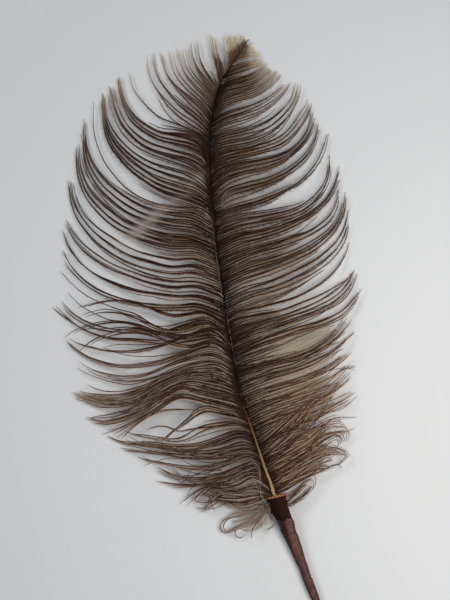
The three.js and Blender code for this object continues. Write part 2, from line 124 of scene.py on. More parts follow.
# Locks of barbs: name, side, barbs, lift in mm, guide curves. A guide is its root on the
# shaft (picture v) and its points out to the tip; barbs lie between the guides.
LOCKS = [
    ("LA", "L", 26, 0, [
        (43, [(245.5, 40), (245, 36)]),
        (55, [(237, 49), (234, 42), (233, 36)]),
        (69, [(229, 60), (226.5, 50), (224.5, 37)]),
    ]),
    ("LB", "L", 8, 0.6, [
        (77, [(222, 66), (218.5, 54), (215, 40)]),
        (88, [(217, 73), (213.5, 60), (211, 47), (210, 33)]),
    ]),
    ("LC", "L", 21, 0, [
        (90, [(212, 78), (206, 68), (202, 55), (200, 37)]),
        (100, [(205, 84), (197, 73), (191, 61), (188, 44)]),
        (112, [(201, 96), (190, 85), (180, 71), (174, 48)]),
        (128, [(200, 113), (186, 101), (173, 88), (162, 73), (157, 49)]),
        (143, [(203, 135), (190, 127), (176, 118), (163, 105), (152, 88), (146, 74), (144.5, 57)]),
    ]),
    ("LD", "L", 1, 0.4, [
        (147, [(202, 138), (190, 130), (176, 124), (161, 119), (150, 110), (140, 98), (133, 86), (129, 69)]),
    ]),
    ("LE1", "L", 8, 0.2, [
        (152, [(201, 140), (190, 134), (176, 131), (160, 129), (147, 122), (135, 113), (127, 102), (122, 88), (121, 72)]),
        (170, [(202, 157), (190, 150), (175, 146), (158, 141), (143, 133), (131, 122), (123, 108), (118, 92), (116, 79)]),
    ]),
    ("LE2", "L", 7, 0, [
        (173, [(202, 160), (190, 153), (175, 149), (157, 144), (142, 136), (129, 124), (121, 110), (116, 95), (113, 83)]),
        (190, [(202, 177), (188, 168), (170, 162), (150, 155), (134, 146), (121, 132), (113, 116), (109, 100), (107, 86)]),
    ]),
    ("LE3", "L", 12, 0.6, [
        (193, [(202, 181), (188, 172), (170, 166), (150, 160), (134, 151), (119, 137), (110, 122), (106, 106), (105, 88)]),
        (205, [(204, 198), (196, 193), (178, 187), (158, 180), (139, 168), (122, 153), (111, 138), (106, 122), (103.5, 103), (103, 89)]),
        (218, [(204, 209), (192, 204), (174, 199), (155, 191), (137, 179), (121, 164), (110, 148), (104.5, 132), (102.5, 112), (101.5, 94)]),
    ]),
    ("LF", "L", 1, 0.4, [
        (222, [(203, 210), (188, 208), (172, 207), (158, 204), (143, 199), (131, 191), (120, 182), (109, 169), (100, 153), (95, 138), (93, 120), (94, 100)]),
    ]),
    ("LG1", "L", 8, 0, [
        (227, [(195, 213), (171, 210), (149, 205), (129, 195), (110, 181), (97, 166), (88, 147), (86, 120)]),
        (243, [(191, 232), (168, 229), (146, 223), (126, 214), (108, 200), (94, 184), (85, 164), (83, 142), (84, 116)]),
    ]),
    ("LG2", "L", 8, 0.5, [
        (246, [(192, 235), (168, 232), (146, 226), (125, 217), (106, 203), (90, 186), (82, 166), (80, 141)]),
        (262, [(195, 250), (172, 250), (150, 245), (129, 237), (110, 226), (95, 212), (84, 196), (78, 179), (76, 162), (76.5, 146)]),
    ]),
    ("LH", "L", 8, 0.1, [
        (268, [(196, 257), (174, 257), (154, 253), (140, 249), (125, 242), (110, 233), (98, 225), (88, 216), (80, 202), (75, 184)]),
        (276, [(195, 266), (172, 267), (150, 262), (128, 255), (108, 243), (92, 230), (80, 214), (73, 198), (70, 174)]),
        (286, [(196, 276), (172, 277), (149, 273), (127, 265), (107, 254), (90, 240), (78, 224), (71, 206), (67, 180)]),
    ]),
    ("LI", "L", 6, 0.5, [
        (289, [(197, 280), (174, 280), (152, 276), (132, 270), (112, 262), (96, 252), (82, 241), (72, 228), (66, 216), (64.5, 204)]),
        (300, [(197, 290), (174, 291), (152, 287), (132, 280), (112, 272), (96, 263), (82, 252), (73, 241), (66.5, 226)]),
    ]),
    ("LJ", "L", 4, 0, [
        (303, [(198, 294), (176, 294), (154, 291), (132, 287), (112, 280), (95, 272), (80, 260), (70, 247), (64, 235), (61, 222)]),
        (310, [(198, 299), (176, 299), (154, 296), (134, 293), (114, 286), (97, 278), (82, 267), (72, 256), (65, 242)]),
    ]),
    ("LK", "L", 5, 0.4, [
        (313, [(198, 303), (178, 304), (160, 304), (140, 302), (122, 298), (106, 292), (92, 284), (80, 274), (70, 261), (63, 246)]),
        (322, [(200, 309), (180, 309), (160, 309), (138, 306), (118, 302), (102, 297), (88, 289), (76, 279), (66, 269), (59, 256)]),
    ]),
    ("LK2", "L", 1, 0.9, [
        (345, [(215, 333), (200, 333), (185, 335), (170, 333), (155, 326), (145, 320), (135, 314), (122, 311), (110, 307), (98, 302), (88, 297), (78, 290), (68, 280), (60, 269)]),
    ]),
    ("LK3", "L", 1, 1.2, [
        (347, [(215, 336), (200, 337), (180, 339), (165, 336), (150, 329), (140, 325), (125, 322), (110, 320), (100, 316), (90, 311), (80, 305), (72, 298), (66, 291)]),
    ]),
    ("LL1", "L", 5, 1.6, [
        (326, [(205, 312), (190, 313), (175, 314), (162, 311), (150, 307), (140, 304), (128, 301), (115, 300), (100, 302), (88, 305), (80, 307), (73, 310)]),
        (330, [(205, 315), (190, 316), (175, 318), (162, 315), (150, 309), (138, 305), (125, 302), (112, 302), (98, 305), (88, 308)]),
    ]),
    ("LL2", "L", 5, 1.4, [
        (336, [(208, 322), (190, 326), (175, 330), (160, 328), (150, 323), (142, 318), (132, 314), (120, 311), (108, 309), (95, 310), (84, 313), (74, 318), (65, 323)]),
        (340, [(208, 326), (190, 331), (175, 334), (160, 332), (150, 327), (140, 320), (128, 315), (118, 312), (105, 312)]),
    ]),
    ("LL3", "L", 4, 1, [
        (343, [(210, 330), (190, 334), (170, 334), (155, 330), (145, 327), (135, 323), (122, 321), (110, 320), (95, 322), (85, 325), (77, 328), (68, 333), (57, 344)]),
        (346, [(210, 333), (190, 338), (170, 337), (152, 332), (138, 326), (122, 323), (108, 323), (92, 327)]),
    ]),
    ("LM1", "L", 6, 0.3, [
        (332, [(208, 318), (190, 321), (175, 326), (160, 331), (145, 330), (130, 329), (116, 328), (102, 325), (92, 322), (82, 318), (72, 311), (61, 297)]),
        (340, [(208, 328), (190, 331), (172, 335), (155, 335), (138, 334), (122, 333), (106, 332), (92, 329), (80, 323), (68, 314), (58, 301)]),
    ]),
    ("LM2", "L", 7, 0, [
        (344, [(210, 333), (190, 337), (170, 339), (150, 339), (132, 338), (116, 338), (102, 336), (88, 331), (76, 325), (65, 315), (56, 303)]),
        (352, [(212, 339), (192, 342), (175, 345), (160, 345), (145, 343), (130, 341.5), (114, 340.5), (100, 337), (84, 330), (70, 321), (58, 313), (49, 305)]),
    ]),
    ("LM3", "L", 4, 1.8, [
        (352, [(212, 340), (192, 345), (175, 342), (162, 338), (150, 331), (138, 327), (124, 328), (112, 331), (100, 336), (90, 341), (82, 347), (73, 357)]),
        (357, [(212, 344), (192, 349), (175, 347), (160, 341), (148, 337), (135, 334.5), (120, 335.5), (108, 338), (98, 342), (85, 353)]),
    ]),
    ("LN1", "L", 3, 1.2, [
        (345, [(214, 329), (200, 331), (186, 336), (172, 341), (160, 345), (148, 348), (134, 350.5), (118, 351), (104, 350), (92, 347.5), (82, 345), (73, 341), (65, 336)]),
    ]),
    ("LO1", "L", 6, 0.2, [
        (354, [(214, 343), (205, 344), (190, 349), (175, 355), (160, 360), (145, 362.5), (130, 364), (115, 363), (102, 360), (91, 356.5), (82, 352), (74, 347), (67, 341)]),
        (360, [(214, 348), (203, 349), (188, 355), (172, 360), (158, 364), (142, 367), (125, 368), (108, 366), (95, 362), (84, 357), (74, 350), (63, 338)]),
    ]),
    ("LO2", "L", 5, 0.5, [
        (364, [(214, 353), (202, 354), (186, 358), (170, 363), (157, 369), (143, 374), (130, 376), (116, 376), (104, 373.5), (93, 370), (82, 365), (72, 358), (63, 347)]),
        (368, [(214, 357), (202, 357), (186, 361), (170, 366), (156, 373), (142, 378), (128, 380), (114, 380), (100, 377)]),
    ]),
    ("LO3", "L", 5, 0.8, [
        (371, [(216, 361), (202, 361), (186, 364), (170, 369), (156, 376), (144, 382), (132, 385), (118, 385), (106, 382), (94, 378), (83, 373), (72, 367), (60, 356)]),
        (374, [(216, 363), (202, 364), (186, 367), (170, 373), (154, 381), (140, 386), (126, 388.5)]),
    ]),
    ("LO4", "L", 2, 1.1, [
        (377, [(216, 365), (202, 366), (186, 369), (168, 375), (152, 382), (138, 387), (124, 390.5), (110, 391.5), (100, 390), (92, 387), (84, 381)]),
    ]),
    ("LP1", "L", 20, 0.2, [
        (378, [(218, 367), (204, 367), (188, 369), (172, 373), (156, 379), (140, 387), (124, 392), (108, 394), (93, 393.5), (79, 391)]),
        (386, [(222, 377), (206, 375), (190, 374), (174, 378), (158, 385), (142, 394), (126, 400), (110, 401), (94, 398), (80, 395), (70, 390)]),
        (394, [(226, 387), (210, 383), (192, 380), (176, 382), (160, 390), (144, 399), (128, 406), (112, 408), (98, 407), (86, 402), (70, 397)]),
    ]),
    ("LP2", "L", 17, 0.7, [
        (395, [(226, 388), (210, 384), (192, 381), (176, 384), (160, 392), (144, 401), (128, 408), (113, 412), (100, 416), (92, 422)]),
        (402, [(230, 397), (214, 393), (197, 389), (180, 387), (164, 395), (148, 405), (132, 414), (116, 419), (102, 421), (90, 418), (80, 416)]),
        (408, [(232, 403), (216, 399), (199, 395), (182, 391), (167, 397), (151, 409), (136, 417), (121, 423), (106, 426), (92, 424)]),
    ]),
    ("LP3", "L", 9, 0.4, [
        (410, [(234, 405), (218, 401), (201, 398), (186, 394), (172, 396), (158, 406), (145, 414), (132, 421), (119, 428), (106, 431), (94, 433)]),
        (416, [(236, 411), (220, 407), (203, 403), (188, 399), (177, 399), (164, 407), (151, 416), (140, 423), (131, 432), (124, 441)]),
    ]),
    ("LQ1", "L", 2, 0.5, [
        (420, [(238, 415), (222, 413), (206, 411), (190, 409.5), (174, 409), (162, 410), (150, 414.5), (140, 420), (128, 427), (119, 430)]),
    ]),
    ("LQ2", "L", 7, 1.3, [
        (418, [(236, 411), (220, 408), (206, 405), (196, 408), (188, 416), (179, 425), (171, 433), (164, 441)]),
        (424, [(240, 419), (224, 416), (208, 413), (196, 417), (187, 424), (177, 430), (168, 436), (158, 444)]),
    ]),
    ("LQ3", "L", 2, 0.6, [
        (428, [(238, 423), (220, 425), (204, 427), (190, 429), (178, 431), (168, 427), (157, 426.5), (145, 430)]),
    ]),
    ("LQ4", "L", 5, 0.2, [
        (426, [(236, 420), (220, 421), (204, 423), (192, 428), (180, 436), (170, 438), (158, 436), (144, 434), (130, 433), (119, 429)]),
        (431, [(240, 427), (222, 428), (206, 433), (192, 440), (178, 443), (162, 441), (146, 438), (132, 434)]),
    ]),
    ("LR1", "L", 8, 0, [
        (434, [(238, 429), (220, 434), (203, 440), (186, 443), (168, 443), (150, 441), (134, 441), (118, 440), (103, 433)]),
        (446, [(242, 440), (222, 446), (202, 450), (182, 451), (162, 449), (146, 447), (132, 445), (117, 443)]),
    ]),
    ("LR2", "L", 6, 0.4, [
        (448, [(243, 442), (223, 448), (203, 452), (183, 453), (163, 452), (147, 451), (131, 449), (115, 446)]),
        (456, [(246, 450), (226, 455), (206, 459), (186, 459), (166, 456), (150, 454), (138, 453), (126, 452.5)]),
    ]),
    ("LR3", "L", 6, 0.1, [
        (459, [(248, 453), (229, 459), (209, 464), (189, 465), (170, 463), (156, 461), (142, 459), (130, 454)]),
        (466, [(250, 458), (232, 464), (213, 470), (194, 471), (176, 468), (163, 465), (152, 461), (144, 455)]),
    ]),
    ("LR4", "L", 6, 0.6, [
        (469, [(252, 461), (234, 467), (215, 474), (197, 478), (181, 476), (168, 472), (157, 466), (148, 463)]),
        (477, [(254, 466), (238, 470), (219, 478), (200, 482), (184, 480), (171, 477), (157, 471)]),
    ]),
    ("LR5", "L", 4, 0.9, [
        (460, [(246, 453), (228, 456), (210, 456), (196, 456), (187, 452), (180, 448), (175, 445)]),
        (466, [(250, 458), (232, 462), (214, 464), (200, 462), (190, 457), (181, 452), (165, 446)]),
    ]),
    ("LS1", "L", 8, 0.2, [
        (480, [(256, 468), (248, 467), (235, 473), (217, 480), (199, 484), (182, 484), (165, 482), (149, 480)]),
        (490, [(262, 480), (254, 472), (244, 471), (230, 478), (213, 484), (197, 487), (184, 488), (176, 488)]),
    ]),
    ("LS2", "L", 9, 1.2, [
        (484, [(257, 470), (248, 470), (234, 477), (218, 482), (204, 487), (191, 493), (181, 499), (172, 504)]),
        (488, [(259, 476), (250, 474), (236, 481), (222, 485), (208, 488), (197, 495), (192, 500), (186, 506)]),
        (492, [(261, 482), (252, 479), (240, 486), (226, 489), (214, 489), (206, 494), (202, 500), (201, 507)]),
    ]),
    ("LS3", "L", 7, 0.7, [
        (493, [(262, 486), (253, 482), (242, 488), (229, 491), (218, 490), (211, 494), (209, 501), (212, 511)]),
        (496, [(262, 491), (252, 490), (240, 493), (229, 493), (221, 496), (214, 502), (206, 508), (198, 514)]),
    ]),
    ("LS4", "L", 8, 0, [
        (496, [(262, 494), (250, 494), (237, 496), (224, 497), (213, 494), (203, 489), (192, 486)]),
        (498, [(263, 499), (252, 504), (240, 506.5), (229, 504), (220, 502), (211, 507), (202, 509), (192, 505)]),
    ]),
    ("LT1", "L", 3, 1, [
        (500, [(264, 503), (252, 508), (240, 511), (228, 515), (221, 520), (218, 527), (221, 533), (229, 533.5), (238, 529), (247, 525)]),
        (503, [(266, 506), (254, 512), (243, 515), (231, 518), (225, 523), (224, 529), (229, 532), (237, 529), (246, 524), (256, 517)]),
    ]),
    ("LT2", "L", 1, 0.6, [
        (502, [(266, 506), (258, 514), (247, 521), (238, 526), (231, 531), (226, 531), (223, 527), (226, 521), (235, 518)]),
    ]),
    ("LT3", "L", 1, 1.3, [
        (503, [(267, 508), (260, 516), (253, 524), (246, 530), (239, 528), (235, 530), (236, 536), (241, 538), (246, 534)]),
    ]),
    ("LT4", "L", 1, 0.9, [
        (504, [(268, 509), (262, 515), (256, 523), (252, 530), (251.5, 540)]),
    ]),
    ("LT5", "L", 1, 0.3, [
        (512, [(272, 514), (274, 519), (274, 524), (270, 528.5), (265, 529), (261, 527)]),
    ]),
    ("RA", "R", 18, 0, [
        (43, [(248, 45), (251, 45)]),
        (52, [(245, 52), (250, 51), (255, 50)]),
        (63, [(240, 59), (251, 57), (262, 58)]),
    ]),
    ("RB", "R", 9, 0.4, [
        (66, [(238, 64), (250, 61), (262, 60)]),
        (80, [(230, 77), (243, 73), (254, 70), (265, 66)]),
    ]),
    ("RC", "R", 17, 0.2, [
        (85, [(231, 80), (246, 76.5), (258, 71), (267, 64)]),
        (93, [(228, 86.5), (244, 82.5), (257, 77), (268, 69), (271, 65.5)]),
        (101, [(227, 95), (244, 91), (258, 85), (269, 78), (275, 70)]),
        (116, [(226, 107), (243, 101), (258, 97), (271, 89), (280, 80), (284, 74)]),
    ]),
    ("RE", "R", 7, 0.1, [
        (119, [(227, 111), (245, 105), (261, 99), (275, 91), (286, 82)]),
        (134, [(226, 127), (245, 121), (262, 114), (276, 104), (287, 92), (293, 81)]),
    ]),
    ("RF", "R", 7, 0.5, [
        (138, [(226, 132), (246, 127), (265, 120), (280, 109), (290, 97), (294.5, 81)]),
        (153, [(228, 148), (249, 144), (268, 137), (284, 125), (294, 111), (300, 98), (302, 84)]),
    ]),
    ("RG", "R", 8, 0, [
        (156, [(229, 150), (250, 146), (271, 139), (287, 128), (298, 114), (305, 104), (309, 95)]),
        (173, [(226, 164), (246, 158), (266, 153), (285, 146), (300, 131), (309, 118), (313, 102)]),
    ]),
    ("RH", "R", 9, 0.5, [
        (177, [(224, 167), (243, 161), (265, 157), (285, 151), (301, 138), (309, 122), (311, 106)]),
        (198, [(226, 183), (244, 176), (265, 171), (286, 162), (303, 148), (313, 133), (317, 119)]),
    ]),
    ("RI", "R", 4, 0.1, [
        (201, [(228, 188), (246, 181), (268, 176), (290, 166), (306, 152), (315, 137), (319, 116)]),
        (210, [(230, 198), (248, 192), (270, 185), (290, 175), (305, 162), (314, 147), (319, 130)]),
    ]),
    ("RJ", "R", 3, 0.6, [
        (214, [(236, 206), (256, 200), (280, 190), (299, 180), (314, 163), (322, 148), (325, 135)]),
        (220, [(238, 211), (260, 205), (283, 194), (302, 183), (316, 168), (325, 152), (329, 129)]),
    ]),
    ("RK", "R", 5, 0.1, [
        (226, [(240, 218), (262, 213.5), (285, 209), (303, 202), (317, 190), (325, 176), (327, 156)]),
        (238, [(240, 229), (262, 224), (286, 219), (305, 211), (320, 197), (329, 178), (331, 152)]),
    ]),
    ("RL", "R", 7, 0.5, [
        (241, [(240, 232), (262, 228), (286, 221), (308, 212), (324, 199), (334, 183), (339, 163)]),
        (256, [(240, 246), (262, 240), (287, 231), (310, 219), (327, 204), (336, 188), (341, 175)]),
    ]),
    ("RM", "R", 5, 0.1, [
        (260, [(243, 250), (266, 243), (290, 236), (311, 228), (328, 215), (336, 200), (339, 186)]),
        (271, [(243, 260), (266, 253), (290, 246), (313, 235), (329, 224), (337, 209), (339, 194)]),
    ]),
    ("RN", "R", 8, 0.5, [
        (275, [(244, 264), (267, 257), (291, 249), (314, 237), (331, 224), (340, 208), (344, 187)]),
        (292, [(246, 281), (270, 273), (295, 263), (317, 251), (334, 235), (344, 216), (347, 196)]),
    ]),
    ("RO", "R", 6, 0, [
        (295, [(248, 284), (272, 277), (296, 266), (318, 254), (335, 239), (345, 222), (348, 206)]),
        (311, [(250, 300), (275, 293), (298, 284), (319, 272), (336, 257), (346, 240), (349, 220)]),
    ]),
    ("RP", "R", 2, 0.4, [
        (318, [(238, 312), (255, 308), (275, 303), (295, 297), (315, 286), (333, 272), (344, 256), (349, 240)]),
    ]),
    ("RP2", "R", 2, 0.7, [
        (324, [(240, 318), (258, 315), (278, 311), (300, 303), (320, 295), (338, 285), (350, 276), (354, 266)]),
    ]),
    ("RQ", "R", 10, 0.3, [
        (330, [(243, 325), (262, 320), (285, 313), (307, 305), (328, 294), (345, 281), (355, 266)]),
        (346, [(248, 338), (271, 330), (296, 322), (320, 314), (340, 304), (351, 290), (358, 273)]),
    ]),
    ("RR", "R", 7, 0.8, [
        (349, [(250, 341), (274, 333), (300, 325), (325, 317), (344, 306), (355, 295), (363, 285)]),
        (360, [(252, 351), (274, 343), (299, 334), (324, 327), (343, 319), (354, 306), (361, 294)]),
    ]),
    ("RS", "R", 8, 0.2, [
        (367, [(250, 365), (270, 361), (292, 354.5), (313, 346), (329, 336), (339, 325), (346, 312)]),
        (380, [(254, 373), (277, 367), (300, 361), (320, 352), (336, 341), (346, 330), (353, 319)]),
    ]),
    ("RT", "R", 6, 0.6, [
        (383, [(256, 376), (280, 370), (303, 363), (323, 354), (339, 345), (349, 338), (357, 334)]),
        (394, [(260, 385), (283, 377), (306, 369), (326, 358), (340, 347), (349, 336), (353, 326)]),
    ]),
    ("RU", "R", 5, 0.1, [
        (397, [(260, 389), (283, 382), (307, 375), (328, 365), (344, 356), (358, 351)]),
        (406, [(262, 397), (284, 390), (306, 383), (327, 373), (344, 361), (350, 350)]),
    ]),
    ("RU2", "R", 3, 1, [
        (409, [(264, 401), (286, 394), (308, 386), (328, 377), (344, 367), (359, 362)]),
        (412, [(266, 404), (288, 397), (311, 389), (331, 379), (345, 372), (355, 374)]),
    ]),
    ("RV", "R", 6, 0.4, [
        (414, [(264, 405), (286, 399), (308, 392), (328, 385), (340, 376), (348, 366), (354, 357)]),
        (424, [(266, 416), (289, 408), (311, 402), (331, 393), (345, 384), (352, 377)]),
    ]),
    ("RW", "R", 5, 0.1, [
        (427, [(268, 419), (291, 411), (313, 404), (333, 397), (345, 392), (353, 390)]),
        (434, [(270, 426), (292, 419), (314, 415), (333, 408), (348, 400), (360, 390)]),
    ]),
    ("RX1", "R", 8, 0.8, [
        (436, [(268, 426), (279, 418), (292, 412), (305, 407), (318, 400), (330, 391), (340, 381), (345, 374)]),
        (452, [(272, 445), (282, 434), (294, 422), (306, 411), (319, 402), (332, 394), (343, 386), (351, 378)]),
    ]),
    ("RX2", "R", 5, 1.3, [
        (444, [(272, 434), (283, 424), (294, 415), (306, 404)]),
        (460, [(276, 450), (288, 440), (300, 428), (308, 415), (317, 404), (326, 396)]),
    ]),
    ("RX3", "R", 4, 0.3, [
        (447, [(270, 438), (283, 430), (297, 423), (312, 418), (327, 410), (341, 403), (352, 397)]),
    ]),
    ("RY1", "R", 6, 0.5, [
        (456, [(276, 447), (290, 440), (305, 433), (318, 424), (330, 418), (338, 418.5), (341, 424)]),
        (465, [(280, 455), (295, 447), (310, 439), (323, 429), (335, 427), (345, 428), (351, 434), (353, 443)]),
    ]),
    ("RY2", "R", 6, 0.1, [
        (468, [(280, 459), (295, 451), (310, 444), (324, 434), (336, 431), (345, 431), (348, 437), (343, 443)]),
        (476, [(284, 467), (299, 459), (314, 450), (327, 440), (336, 436), (340, 440), (337, 447), (331, 452)]),
    ]),
    ("RY3", "R", 6, 0.6, [
        (478, [(284, 469), (299, 462), (315, 453), (328, 447), (338, 447), (345, 451), (349, 456), (342, 463), (333, 466)]),
        (485, [(287, 477), (302, 470), (318, 462), (330, 454), (340, 452), (346, 452)]),
    ]),
    ("RY4", "R", 6, 0.2, [
        (487, [(288, 479), (303, 473), (318, 466), (331, 465.5), (340, 465), (342, 471)]),
        (493, [(291, 485), (305, 479), (316, 474), (327, 470)]),
    ]),
    ("RS1", "R", 1, 1.5, [
        (466, [(283, 456), (300, 446), (318, 432), (328, 422), (337, 418), (348, 418), (361, 416.5)]),
    ]),
    ("RS2", "R", 1, 1.7, [
        (472, [(285, 462), (302, 452), (318, 440), (332, 433), (344, 432), (353, 429), (361, 424)]),
    ]),
    ("RS3", "R", 1, 1.9, [
        (468, [(283, 458), (300, 450), (316, 443), (326, 448), (330, 455), (329, 461)]),
    ]),
    ("RS4", "R", 1, 1.6, [
        (458, [(280, 449), (296, 441), (310, 437), (302, 436)]),
    ]),
    ("RZ1", "R", 4, 0.3, [
        (495, [(290, 492), (300, 484), (309, 477), (315, 478), (316, 484), (311, 492), (301, 499)]),
        (498, [(291, 500), (299, 493), (305, 486), (310, 480)]),
    ]),
    ("RZ2", "R", 5, 0.6, [
        (499, [(290, 503), (297, 497), (303, 490), (307, 484)]),
        (503, [(291, 507), (299, 502), (307, 497), (312, 491)]),
    ]),
]


def shaft_u(v):
    return np.interp(v, RACHIS[:, 1], RACHIS[:, 0])


def vane_height(p):
    """Height of the arched vane at x, y."""
    x, y = p[..., 0], p[..., 1]
    off = x - np.interp(y, SHAFT[::-1, 1], SHAFT[::-1, 0])
    span = np.where(off < 0, np.interp(y, SPAN[:, 0], SPAN[:, 1]), np.interp(y, SPAN[:, 0], SPAN[:, 2]))
    q = np.clip(np.abs(off) / span, 0, 1)
    return np.interp(y, ARCH[:, 0], ARCH[:, 1]) * (1 - q**1.8) + 0.6


def on_vane(curve):
    """Picture points onto the arched vane, in mm."""
    p = unproject(curve[:, 0], curve[:, 1], 5.0)
    for _ in range(3):
        p = unproject(curve[:, 0], curve[:, 1], vane_height(p))
    return p


def arc(points):
    return np.r_[0, np.cumsum(np.linalg.norm(np.diff(points, axis=0), axis=1))]


def resample(points, n):
    s = arc(points)
    q = np.linspace(0, s[-1], n)
    return np.stack([np.interp(q, s, points[:, k]) for k in range(points.shape[1])], 1)


def spline(points, n):
    """Centripetal Catmull-Rom curve through the points, evenly spaced."""
    p = np.array(points, float)
    d = np.r_[0, np.cumsum(np.sqrt(np.linalg.norm(np.diff(p, axis=0), axis=1)))]
    q = np.vstack([2 * p[0] - p[1], p, 2 * p[-1] - p[-2]])
    t = np.r_[2 * d[0] - d[1], d, 2 * d[-1] - d[-2]]
    out = []
    for i in range(1, len(q) - 2):
        x = np.linspace(t[i], t[i + 1], 10, endpoint=False)[:, None]
        a1 = (t[i] - x) / (t[i] - t[i - 1]) * q[i - 1] + (x - t[i - 1]) / (t[i] - t[i - 1]) * q[i]
        a2 = (t[i + 1] - x) / (t[i + 1] - t[i]) * q[i] + (x - t[i]) / (t[i + 1] - t[i]) * q[i + 1]
        a3 = (t[i + 2] - x) / (t[i + 2] - t[i + 1]) * q[i + 1] + (x - t[i + 1]) / (t[i + 2] - t[i + 1]) * q[i + 2]
        b1 = (t[i + 1] - x) / (t[i + 1] - t[i - 1]) * a1 + (x - t[i - 1]) / (t[i + 1] - t[i - 1]) * a2
        b2 = (t[i + 2] - x) / (t[i + 2] - t[i]) * a2 + (x - t[i]) / (t[i + 2] - t[i]) * a3
        out.append((t[i + 1] - x) / (t[i + 1] - t[i]) * b1 + (x - t[i]) / (t[i + 1] - t[i]) * b2)
    return resample(np.vstack(out + [q[-2][None]]), n)


def smooth_noise(x, step, seed):
    """Repeatable wandering value in -1..1, changing over a length of step."""
    k = np.floor(x / step)
    f = x / step - k
    f = f * f * (3 - 2 * f)
    h = lambda i: np.modf(np.abs(np.sin(i * 12.9898 + seed * 78.233)) * 43758.5453)[0] * 2 - 1
    return h(k) * (1 - f) + h(k + 1) * f


def srgb(r, g, b):
    c = np.array([r, g, b], float) / 255
    return np.where(c <= 0.04045, c / 12.92, ((c + 0.055) / 1.055) ** 2.4)


def mix(a, b, w):
    w = np.asarray(w, float)[..., None]
    return np.asarray(a) * (1 - w) + np.asarray(b) * w


class Soup:
    """Collects vertices and triangles with a colour per vertex and a map per corner."""

    def __init__(self):
        self.v, self.f, self.c, self.uv, self.smooth, self.count = [], [], [], [], [], 0

    def add(self, v, f, c, uv, smooth):
        self.v.append(v)
        self.f.append(f + self.count)
        self.c.append(c)
        self.uv.append(uv)
        self.smooth.append(np.full(len(f), smooth))
        self.count += len(v)

    def triangles(self):
        return sum(len(f) for f in self.f)

    def build(self, name, material):
        v, f = np.vstack(self.v), np.vstack(self.f)
        c, uv = np.vstack(self.c), np.vstack(self.uv)
        v = (v + SHIFT) / 1000
        v[:, 2] = np.maximum(v[:, 2], 0.00012)
        mesh = bpy.data.meshes.new(name)
        mesh.vertices.add(len(v))
        mesh.vertices.foreach_set("co", v.astype(np.float32).ravel())
        mesh.loops.add(len(f) * 3)
        mesh.loops.foreach_set("vertex_index", f.astype(np.int32).ravel())
        mesh.polygons.add(len(f))
        mesh.polygons.foreach_set("loop_start", (np.arange(len(f)) * 3).astype(np.int32))
        mesh.polygons.foreach_set("use_smooth", np.concatenate(self.smooth))
        tint = mesh.color_attributes.new("tint", "FLOAT_COLOR", "POINT")
        tint.data.foreach_set("color", np.c_[c, np.ones(len(c))].astype(np.float32).ravel())
        layer = mesh.uv_layers.new(name="OFBake")
        layer.uv.foreach_set("vector", uv.astype(np.float32).ravel())
        mesh.update()
        mesh.validate()
        mesh.materials.append(material)
        ob = bpy.data.objects.new(name, mesh)
        bpy.context.collection.objects.link(ob)
        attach(ob, "root")
        return ob


# ---- barbs -------------------------------------------------------------------

RAMUS_DARK = srgb(36, 21, 15)
RAMUS_LIGHT = srgb(96, 58, 38)
FRINGE_IN = srgb(62, 41, 30)
FRINGE_OUT = srgb(164, 134, 108)
BEIGE = srgb(168, 142, 108)
TAN = srgb(206, 182, 148)
PALE = srgb(206, 192, 172)
CREAM = srgb(236, 222, 190)
WORN_PALE = srgb(170, 154, 138)
FLOOR_SHADE_TINT = srgb(146, 135, 119)
RIM_HIGHLIGHT = srgb(202, 188, 170)


